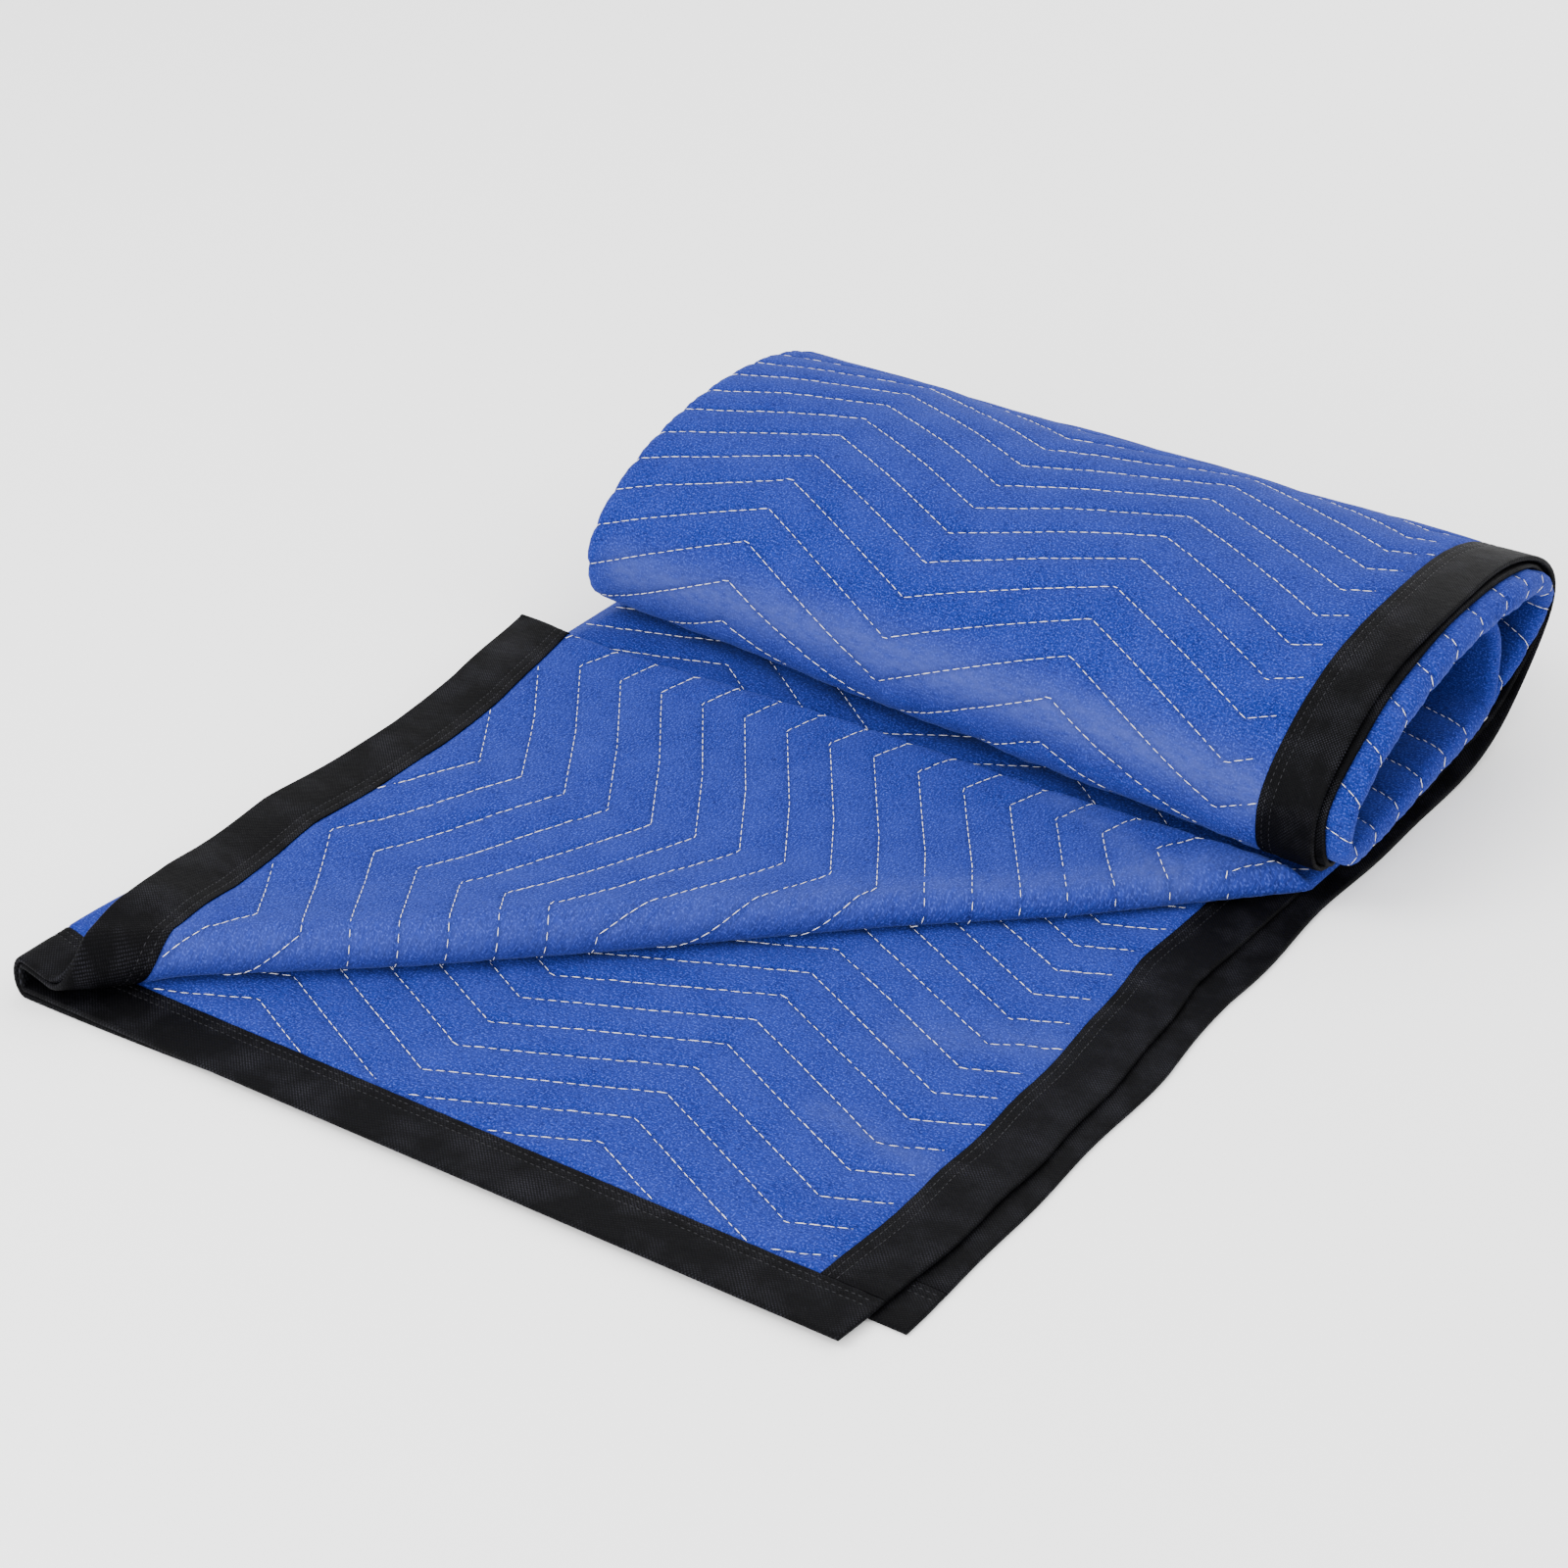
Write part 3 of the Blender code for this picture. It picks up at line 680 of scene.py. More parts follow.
@dataclass
class Quilting:
    """The rows of zigzag stitching and the soft relief that they pull into the cloth."""

    folded: FoldedCloth
    faces: tuple[QuiltedFace, ...] = (
        QuiltedFace(
            Span.LAYER_1,
            0.0139,
            0.0262,
            (
                (-0.1224, 0.0), (-0.0087, 0.0527), (0.105, 0.0), (0.2187, 0.0527),
                (0.3324, 0.0), (0.4461, 0.0527), (0.5598, 0.0),
            ),
        ),
        QuiltedFace(
            Span.LAYER_2,
            0.0342,
            0.0264,
            (
                (-0.1082, 0.0539), (0.0003, 0.0), (0.1088, 0.0539), (0.2165, 0.0),
                (0.3263, 0.0539), (0.4355, 0.0), (0.545, 0.0539),
            ),
        ),
        QuiltedFace(
            Span.LAYER_3,
            0.0287,
            0.0298,
            (
                (-0.1, 0.065), (0.026, 0.012), (0.14, 0.065), (0.243, 0.017),
                (0.355, 0.063), (0.479, 0.0), (0.6, 0.06),
            ),
        ),
        QuiltedFace(
            Span.LAYER_4,
            0.0139,
            0.0262,
            (
                (-0.1224, 0.0527), (-0.0087, 0.0), (0.105, 0.0527), (0.2187, 0.0),
                (0.3324, 0.0527), (0.4461, 0.0), (0.5598, 0.0527),
            ),
        ),
    )
    roll_shows: tuple[float, float] = (0.60, 1.20)
    ring_shows: tuple[float, float] = (0.64, 1.30)
    ring_reach: float = 0.045
    turn_reach: float = 0.012
    strip_shows: tuple[float, float] = (0.38, 0.58)
    fade: float = 0.02
    crease_margin: float = 0.004

    def reach(self, face: QuiltedFace) -> tuple[float, float]:
        """The u at both ends of a quilted face, which takes in the rolled fold beside layer 3.

        Args:
            face: The quilted face.

        Returns:
            The lowest and the highest u.
        """
        marks, margin = self.folded.marks, self.folded.tape.width
        if face.span is Span.LAYER_1:
            return margin, float(marks[1]) + self.turn_reach
        if face.span is Span.LAYER_2:
            return float(marks[6]), self.folded.width - margin
        if face.span is Span.LAYER_4:
            return float(marks[2]), float(marks[3])
        return float(marks[3]) - self.ring_reach, float(marks[5])

    def shown(self, face: QuiltedFace, u: np.ndarray, s: np.ndarray) -> np.ndarray:
        """1 where a face shows and 0 where it lies hidden.

        Args:
            face: The quilted face.
            u: Place across the flat cloth.
            s: Place along it.

        Returns:
            The share, 0 to 1.
        """
        low, high = self.reach(face)
        on = (u > low) & (u < high)
        x = self.folded.layer_x(face.span, u)
        if face.span is Span.LAYER_1:
            return np.where(on, self.between(s, self.roll_shows), 0.0)
        y = self.folded.front_edge + s
        if face.span is Span.LAYER_2:
            return np.where(on, smooth((self.folded.crease_side(x, y) + self.fade) / self.fade), 0.0)
        y = y - self.folded.pair_shift(x, s)
        if face.span is Span.LAYER_4:
            before = smooth((-self.crease_margin - self.folded.crease_side(x, y)) / self.fade)
            return np.where(on, self.between(s, self.strip_shows) * before, 0.0)
        flap = smooth((self.folded.crease_side(x, y) - self.crease_margin) / self.fade)
        flap = np.where(u > self.folded.marks[3], flap, 0.0)
        ring = self.between(s, self.ring_shows)
        ring = ring * smooth((self.folded.marks[4] + self.ring_reach - u) / self.fade)
        return np.where(on, np.maximum(flap, ring), 0.0)

    def between(self, s: np.ndarray, ends: tuple[float, float]) -> np.ndarray:
        """1 between two places along the cloth, fading to 0 at both."""
        return smooth((s - ends[0]) / self.fade) * smooth((ends[1] - s) / self.fade)

    def phase(self, face: QuiltedFace, u: np.ndarray, s: np.ndarray) -> np.ndarray:
        """Where a place lies between one row of stitches and the next, 0 to 1."""
        x = self.folded.layer_x(face.span, u)
        return ((s - face.row_start - face.rise(x)) / face.row_pitch) % 1.0

    def relief(self, u: np.ndarray, s: np.ndarray) -> np.ndarray:
        """How far the stitched face stands above or below the plain cloth.

        Args:
            u: Place across the flat cloth.
            s: Place along it.

        Returns:
            The height, in metres.
        """
        quilt, tape = self.folded.quilt, self.folded.tape
        total = np.zeros(np.shape(u))
        inside = smooth((self.folded.edge_distance(u, s) - tape.width - 0.001) / quilt.stand_in)
        for face in self.faces:
            off = np.abs(2.0 * self.phase(face, u, s) - 1.0)
            puff = -quilt.groove + (quilt.groove + quilt.crest) * (1.0 - off**3.2)
            pucker = quilt.pucker * ripple(u, s, quilt.pucker_length, 21) * smooth((off - 0.35) / 0.5)
            total += (puff + pucker) * inside * self.shown(face, u, s)
        return total + self.wrinkled(u, s)

    def wrinkled(self, u: np.ndarray, s: np.ndarray) -> np.ndarray:
        """Height of the wrinkles placed by hand.

        Args:
            u: Place across the flat cloth.
            s: Place along it.

        Returns:
            The height, in metres.
        """
        total = np.zeros(np.shape(u))
        for fold in WRINKLES:
            on = self.folded.on_span(fold.span, u)
            x = self.folded.layer_x(fold.span, u)
            run = np.subtract(fold.end, fold.start)
            size = float(np.hypot(*run))
            ahead = ((x - fold.start[0]) * run[0] + (s - fold.start[1]) * run[1]) / size
            aside = ((x - fold.start[0]) * run[1] - (s - fold.start[1]) * run[0]) / size
            ends = smooth(ahead / (0.3 * size)) * smooth((size - ahead) / (0.3 * size))
            total += np.where(on, fold.height * ends * np.exp(-((aside / fold.width) ** 2)), 0.0)
        return total

    def wear_and_sheen(self, u: np.ndarray, s: np.ndarray) -> np.ndarray:
        """How strongly the painted sheen shows: in the listed bands and along the diagonal crease.

        Args:
            u: Place across the flat cloth.
            s: Place along it.

        Returns:
            The share, 0 to 1.
        """
        total = np.zeros(np.shape(u))
        for band in PAINTED_SHEEN_BANDS:
            on = self.folded.on_span(band.span, u)
            x = self.folded.layer_x(band.span, u)
            beyond = np.clip(x, band.line[0][0], band.line[-1][0]) - x
            off = np.hypot(beyond, s - table_value(band.line, x))
            total += np.where(on, band.strength * np.exp(-((off / band.width) ** 2)), 0.0)
        x = self.folded.layer_x(Span.LAYER_3, u)
        y = self.folded.front_edge + s - self.folded.pair_shift(x, s)
        off = (self.folded.crease_side(x, y) - self.folded.crease.sheen_line) / self.folded.crease.sheen_width
        on = self.folded.on_span(Span.LAYER_3, u)
        return total + np.where(on, self.folded.crease.sheen_strength * np.exp(-(off**2)), 0.0)

    def stitch_gap(self, u: np.ndarray, s: np.ndarray) -> np.ndarray:
        """Distance from the nearest row of stitches, along the strip.

        Args:
            u: Place across the flat cloth.
            s: Place along it.

        Returns:
            The distance, in metres.
        """
        gap = np.full(np.shape(u), 0.5 * self.faces[0].row_pitch)
        for face in self.faces:
            phase = self.phase(face, u, s)
            near = np.minimum(phase, 1.0 - phase) * face.row_pitch
            gap = np.where(self.shown(face, u, s) > 0.0, near, gap)
        return gap

    def rows(self, face: QuiltedFace) -> np.ndarray:
        """The starts along the strip of a face's rows.

        Args:
            face: The quilted face.

        Returns:
            Where each row starts, along the strip.
        """
        before = math.ceil(max(rise for _, rise in face.zigzag) / face.row_pitch)
        count = int(self.folded.cloth.length / face.row_pitch) + 1
        return face.row_start + face.row_pitch * np.arange(-before, count)


@dataclass
class ClothMesh:
    """A closed mesh made from triangles of the flat cloth, filled between levels and then folded.

    Once it is built, flat_u and flat_s hold the flat place of each of its points.
    """

    name: str
    u: np.ndarray
    s: np.ndarray
    faces: np.ndarray
    flat_u: np.ndarray = field(init=False)
    flat_s: np.ndarray = field(init=False)

    def build(
        self, folded: FoldedCloth, slabs: list[np.ndarray], levels: list[np.ndarray]
    ) -> bpy.types.Object:
        """Makes the object.

        Args:
            folded: Carries the flat cloth to its folded place.
            slabs: For each slab, which of the triangles it fills.
            levels: The distance out of each slab's bottom and top, one more than the slabs.

        Returns:
            The mesh object, with its flat place in metres as its UV map.
        """
        count = len(self.u)
        parts = []
        none = np.zeros(len(self.faces), bool)
        for k, slab in enumerate(slabs):
            below = slabs[k - 1] if k else none
            above = slabs[k + 1] if k + 1 < len(slabs) else none
            low, high = k * count, (k + 1) * count
            parts.append(self.faces[slab & ~above] + high)
            parts.append(self.faces[slab & ~below][:, ::-1] + low)
            cells = self.faces[slab]
            edges = np.concatenate((cells[:, [0, 1]], cells[:, [1, 2]], cells[:, [2, 0]]))
            ways = edges[:, 0].astype(np.int64) * count + edges[:, 1]
            back = edges[:, 1].astype(np.int64) * count + edges[:, 0]
            p, q = edges[~np.isin(back, ways)].T
            parts.append(np.stack((p + low, q + low, q + high), axis=1))
            parts.append(np.stack((p + low, q + high, p + high), axis=1))
        solid = np.concatenate(parts)
        used, index = np.unique(solid, return_inverse=True)
        solid = index.reshape(solid.shape)
        flat = used % count
        w = np.concatenate([np.broadcast_to(level, count) for level in levels])[used]
        u, s = self.u[flat], self.s[flat]
        world = folded.placed(u, s, w)
        mesh = bpy.data.meshes.new(self.name)
        mesh.from_pydata(world.tolist(), [], solid.tolist())
        uv = mesh.uv_layers.new(name="cloth_metres")
        corners = solid.ravel()
        uv.data.foreach_set("uv", np.stack((u[corners], s[corners]), axis=1).ravel())
        mesh.polygons.foreach_set("use_smooth", np.ones(len(mesh.polygons), bool))
        mesh.update()
        self.flat_u, self.flat_s = u, s
        return added(self.name, mesh)


def folded_end(folded: FoldedCloth) -> np.ndarray:
    """Close places across the flat cloth where the crease bends the tape of the free end."""
    x = np.arange(0.016, 0.110, 0.002)
    return np.sort(np.concatenate([folded.layer_u(span, x) for span in (Span.LAYER_4, Span.LAYER_3)]))


@dataclass
class Panel:
    """The quilted cloth between the edge tapes."""

    folded: FoldedCloth
    quilting: Quilting
    row_phases: tuple[float, ...] = (0.0, 0.05, 0.14, 0.34, 0.66, 0.86, 0.95)
    along_row: float = 0.0075
    hidden_across: float = 0.055
    hidden_along: float = 0.0095
    edge_step: float = 0.0080
    crease_grid: tuple[float, float] = (0.0044, 0.0022)
    tape_grid: tuple[float, float] = (0.0024, 0.0024)
    turn_steps: tuple[int, int, int] = (8, 12, 5)
    flat_step: float = 0.012
    wound_from: float = 0.41
    crease_end: float = 0.62
    crease_margin: float = 0.002
    # How far the coarse grid keeps from a turn, from the bound edges and from a quilted face
    turn_clear: float = 0.008
    bound_clear: float = 0.012
    face_clear: tuple[float, float] = (0.006, 0.004)
    row_clear: float = 0.002

    def stations(self) -> np.ndarray:
        """Places along the strip of the coarse grid, closer where the strip is wound.

        Returns:
            The places.
        """
        edge = self.edge_lines()
        length = self.folded.cloth.length
        flat = np.arange(edge[-1] + 0.008, self.wound_from - 0.01, self.flat_step)
        wound = np.arange(self.wound_from, length - edge[-1] - 0.004, self.hidden_along)
        return np.concatenate((edge, flat, wound, length - edge[::-1]))

    def edge_lines(self) -> np.ndarray:
        """Distances in from the cut edge at which the cloth's thickness changes.

        Returns:
            The distances.
        """
        tape = self.folded.tape
        first = tape.wall + tape.gap
        return np.array(
            (first, 0.5 * tape.width, tape.width, tape.width + tape.gap, tape.width + tape.ramp)
        )

    def grid(self) -> tuple[np.ndarray, np.ndarray]:
        """The coarse grid, left out where a quilted face or the crease has its own points.

        Returns:
            The points' u and s.
        """
        marks, edge = self.folded.marks, self.edge_lines()
        across = [edge, self.folded.width - edge]
        for span, steps in zip((1, 3, 5), self.turn_steps):
            across.append(np.linspace(marks[span], marks[span + 1], steps + 1))
        for span in (0, 2, 4, 6):
            low, high = marks[span] + self.turn_clear, marks[span + 1] - self.turn_clear
            low = edge[-1] + self.bound_clear if span == 0 else low
            high = self.folded.width - edge[-1] - self.bound_clear if span == 6 else high
            across.append(np.linspace(low, high, int((high - low) / self.hidden_across) + 2))
        u, s = grid_places(np.unique(np.concatenate(across)), self.stations())
        busy = np.zeros(len(u), bool)
        du, ds = self.face_clear
        for face in self.quilting.faces:
            for by_u, by_s in ((0.0, 0.0), (du, 0.0), (-du, 0.0), (0.0, ds), (0.0, -ds)):
                busy |= self.quilting.shown(face, u + by_u, s + by_s) > 0.0
        busy |= self.in_crease(u, s, 0.003)
        margin = self.folded.edge_distance(u, s) <= edge[-1] + 1e-6
        kept = [np.stack((u[~busy | margin], s[~busy | margin]), axis=1)]
        # Close points all along the bound edges, so that the cloth stays inside its tape
        width, length = self.folded.width, self.folded.cloth.length
        along_u = np.arange(edge[-1], width - edge[-1], self.edge_step)
        along_u = np.concatenate((along_u, folded_end(self.folded)))
        along_s = np.arange(edge[-1], length - edge[-1], self.edge_step)
        for depth in edge:
            for place in (depth, length - depth):
                kept.append(np.stack((along_u, np.full(along_u.shape, place)), axis=1))
            for place in (depth, width - depth):
                kept.append(np.stack((np.full(along_s.shape, place), along_s), axis=1))
        every = np.unique(np.round(np.concatenate(kept), 5), axis=0)
        return every[:, 0], every[:, 1]

    def in_crease(self, u: np.ndarray, s: np.ndarray, guard: float = 0.0) -> np.ndarray:
        """Whether places lie on the upper pair where the crease bends it.

        Args:
            u: Place across the flat cloth.
            s: Place along it.
            guard: How much further on both sides still counts.

        Returns:
            True where they do.
        """
        marks = self.folded.marks
        x = np.where(
            u < marks[3],
            self.folded.layer_x(Span.LAYER_4, u),
            self.folded.layer_x(Span.LAYER_3, u),
        )
        y = self.folded.front_edge + s - self.folded.pair_shift(x, s)
        past = self.folded.crease_side(x, y)
        bend = math.pi * self.folded.crease.radius_soft
        margin = self.crease_margin + guard
        near = (past > -margin) & (past < bend + margin)
        return near & (u > marks[2]) & (u < marks[5])

    def crease_points(self) -> tuple[np.ndarray, np.ndarray]:
        """A close grid over the crease's bend on both of its layers, closer still inside the tape.

        Returns:
            The points' u and s.
        """
        marks, edge = self.folded.marks, self.edge_lines()
        found_u, found_s = [], []
        for (du, ds), low, high, guard in (
            (self.crease_grid, edge[-1], self.crease_end, 0.0),
            (self.tape_grid, edge[0], edge[-1], 2.0 * self.crease_margin),
        ):
            u, s = grid_places(np.arange(marks[2] + du, marks[5] - du, du), np.arange(low + ds, high, ds))
            keep = self.in_crease(u, s, guard)
            found_u.append(u[keep])
            found_s.append(s[keep])
        return np.concatenate(found_u), np.concatenate(found_s)

    def rows(self) -> tuple[list[np.ndarray], list[np.ndarray]]:
        """Lines of points that follow the rows of stitching, for each quilted face.

        Returns:
            The lines' u and s, with s not a number where a line breaks off.
        """
        folded = self.folded
        edge = self.edge_lines()[-1]
        lines_u, lines_s = [], []
        for face in self.quilting.faces:
            low, high = self.quilting.reach(face)
            corners = [place for place, _ in face.zigzag]
            legs = []
            for first, last in zip(corners, corners[1:]):
                steps = int((last - first) * folded.quilt.slant / self.along_row)
                legs.append(np.linspace(first, last, steps + 1)[:-1])
            x = np.concatenate(legs)
            u = np.sort(folded.layer_u(face.span, x))
            for span, steps in zip((1, 3, 5), self.turn_steps):
                bend = np.linspace(folded.marks[span], folded.marks[span + 1], steps + 1)
                clear = (u < bend[0] - self.row_clear) | (u > bend[-1] + self.row_clear)
                u = np.sort(np.concatenate((u[clear], bend)))
            margin = edge + self.row_clear
            u = u[(u > max(low, margin)) & (u < min(high, folded.width - edge - self.row_clear))]
            rise = face.rise(folded.layer_x(face.span, u))
            for start in self.quilting.rows(face):
                for phase in self.row_phases:
                    s = start + phase * face.row_pitch + rise
                    lines_u.append(u)
                    lines_s.append(s)
                    ok = (s > edge + 0.0015) & (s < folded.cloth.length - edge)
                    ok &= self.quilting.shown(face, u, s) > 0.0
                    ok &= ~self.in_crease(u, s, 0.001)
                    lines_s[-1] = np.where(ok, s, np.nan)
        return lines_u, lines_s

    def build(self, material: bpy.types.Material) -> bpy.types.Object:
        """Makes the panel.

        Args:
            material: The cloth's finish.

        Returns:
            The panel's object.
        """
        u, s = self.grid()
        cu, cs = self.crease_points()
        points = [np.stack((u, s), axis=1), np.stack((cu, cs), axis=1)]
        edges: list[tuple[int, int]] = []
        count = len(u) + len(cu)
        for row_u, row_s in zip(*self.rows()):
            kept = ~np.isnan(row_s)
            index = np.cumsum(kept) - 1 + count
            joined = np.flatnonzero(kept[:-1] & kept[1:])
            edges += [(int(index[k]), int(index[k + 1])) for k in joined]
            points.append(np.stack((row_u[kept], row_s[kept]), axis=1))
            count += int(kept.sum())
        flat = np.concatenate(points)
        found = delaunay_2d_cdt([Vector(p) for p in flat.tolist()], edges, [], 0, 2e-5)
        flat = np.array([tuple(p) for p in found[0]])
        faces = np.array(found[2])
        a, b = flat[faces[:, 1]] - flat[faces[:, 0]], flat[faces[:, 2]] - flat[faces[:, 0]]
        turned = a[:, 0] * b[:, 1] - a[:, 1] * b[:, 0] < 0.0
        faces[turned] = faces[turned][:, ::-1]
        u, s = flat[:, 0], flat[:, 1]
        half = self.half_thickness(u, s)
        relief = self.quilting.relief(u, s)
        mesh = ClothMesh("quilted_panel_cloth", u, s, faces)
        whole = np.ones(len(faces), bool)
        made = mesh.build(self.folded, [whole], [-half - 0.25 * relief, half + relief])
        gap = made.data.attributes.new("stitch_gap", "FLOAT", "POINT")
        gap.data.foreach_set("value", self.quilting.stitch_gap(mesh.flat_u, mesh.flat_s))
        # Share of painted sheen at each point, paler where the cloth bulges towards the light
        painted_sheen = made.data.attributes.new("painted_sheen_share", "FLOAT", "POINT")
        painted_sheen.data.foreach_set("value", self.quilting.wear_and_sheen(mesh.flat_u, mesh.flat_s))
        made.data.materials.append(material)
        return made

    def half_thickness(self, u: np.ndarray, s: np.ndarray) -> np.ndarray:
        """Half the cloth's thickness: thin inside the tape, full past it.

        Args:
            u: Place across the flat cloth.
            s: Place along it.

        Returns:
            The half thickness.
        """
        tape, full = self.folded.tape, self.folded.cloth.half_thickness
        inside = self.folded.edge_distance(u, s) - tape.width - tape.gap
        share = smooth(inside / (tape.ramp - tape.gap))
        return tape.cloth_inside + (full - tape.cloth_inside) * share


class TapeSide(Enum):
    """The four lengths of edge tape."""

    FRONT = "end_tape_front"
    INNER = "end_tape_inner"
    LOWER = "side_tape_lower"
    UPPER = "side_tape_upper"


@dataclass
class EdgeTape:
    """One length of folded edge tape, a channel round the cloth's edge."""

    folded: FoldedCloth
    side: TapeSide
    # Depths in from the cut edge: close at the folded edge, the stitches and the open edge
    columns: tuple[float, ...] = (
        *(0.0, 0.0003, 0.0008, 0.0011, 0.0018, 0.004, 0.0065, 0.009, 0.012, 0.015, 0.018),
        *(0.021, 0.0236, 0.0262, 0.0275, 0.0288, 0.0304, 0.0322, 0.0336, 0.0348, 0.0356, 0.036),
    )
    along: float = 0.006
    along_hidden: float = 0.010
    hidden_from: float = 1.25
    hidden_steps: int = 60
    turn_steps: tuple[int, int, int] = (10, 12, 6)
    turn_clear: float = 0.004

    def is_end(self) -> bool:
        """Whether the tape runs across the cloth's end."""
        return self.side in (TapeSide.FRONT, TapeSide.INNER)

    def half_thickness(self, u: np.ndarray, s: np.ndarray) -> np.ndarray:
        """Half the tape's thickness: rounded at both of its edges and drawn in along its stitches.

        Args:
            u: Place across the flat cloth.
            s: Place along it.

        Returns:
            The half thickness.
        """
        tape = self.folded.tape
        full = tape.half_thickness
        deep = self.folded.edge_distance(u, s)
        nose = np.sqrt(np.clip(1.0 - (1.0 - np.minimum(deep / full, 1.0)) ** 2, 0.03, 1.0))
        across = np.minimum(s, self.folded.cloth.length - s)
        if not self.is_end():
            across = np.minimum(u, self.folded.width - u)
        drawn = sum(np.exp(-(((across - row) / tape.stitch_spread) ** 2)) for row in tape.stitch_rows)
        uneven = tape.pucker * (ripple(u, s, tape.pucker_length, 31) - 1.0)
        pucker = smooth((across - tape.pucker_start) / 0.006) * uneven
        lip = tape.lip * smooth((across - tape.width + tape.lip_width) / tape.lip_width)
        return np.maximum(full * nose - tape.stitch_depth * drawn - lip + pucker, tape.thinnest)

    def build(self, material: bpy.types.Material) -> bpy.types.Object:
        """Makes the tape.

        Args:
            material: The tape's finish.

        Returns:
            The tape's object.
        """
        folded, tape = self.folded, self.folded.tape
        columns = np.array(self.columns)
        marks, width, length = folded.marks, folded.width, folded.cloth.length
        step = self.along if self.side is TapeSide.FRONT else self.along_hidden
        if self.is_end():
            u = [columns, width - columns]
            for span, steps in zip((1, 3, 5), self.turn_steps):
                u.append(np.linspace(marks[span], marks[span + 1], steps + 1))
            for span in (0, 2, 4, 6):
                low = (columns[-1] if span == 0 else marks[span]) + self.turn_clear
                high = (width - columns[-1] if span == 6 else marks[span + 1]) - self.turn_clear
                u.append(np.linspace(low, high, int((high - low) / step) + 1))
            if self.side is TapeSide.FRONT:
                u.append(folded_end(folded))
            u = np.unique(np.concatenate(u))
            s = columns if self.side is TapeSide.FRONT else np.sort(length - columns)
        else:
            u = columns if self.side is TapeSide.LOWER else np.sort(width - columns)
            end = tape.width + tape.gap
            s = np.arange(end, self.hidden_from, self.along)
            s = np.concatenate((s, np.linspace(self.hidden_from, length - end, self.hidden_steps)))
        nu, ns = len(u), len(s)
        cell_u, cell_s = grid_places(np.arange(nu - 1), np.arange(ns - 1))
        corner = cell_u * ns + cell_s
        faces = np.concatenate(
            (
                np.stack((corner, corner + ns, corner + ns + 1), axis=1),
                np.stack((corner, corner + ns + 1, corner + 1), axis=1),
            )
        )
        u, s = grid_places(u, s)
        middle = folded.edge_distance(u[faces].mean(axis=1), s[faces].mean(axis=1))
        whole = np.ones(len(faces), bool)
        wall = middle < tape.wall
        outer = self.half_thickness(u, s)
        inner = np.maximum(outer - tape.wall, tape.cloth_inside + 0.0002)
        inner = np.minimum(inner, outer - 0.0002)
        mesh = ClothMesh(f"{self.side.value}_folded", u, s, faces)
        made = mesh.build(folded, [whole, wall, whole], [-outer, -inner, inner, outer])
        made.data.materials.append(material)
        return made


@dataclass(frozen=True)
class ThreadSizes:
    """One stitch of thread and how far its middle lies above the face, in metres."""

    length: float
    width: float
    height: float
    lift: float


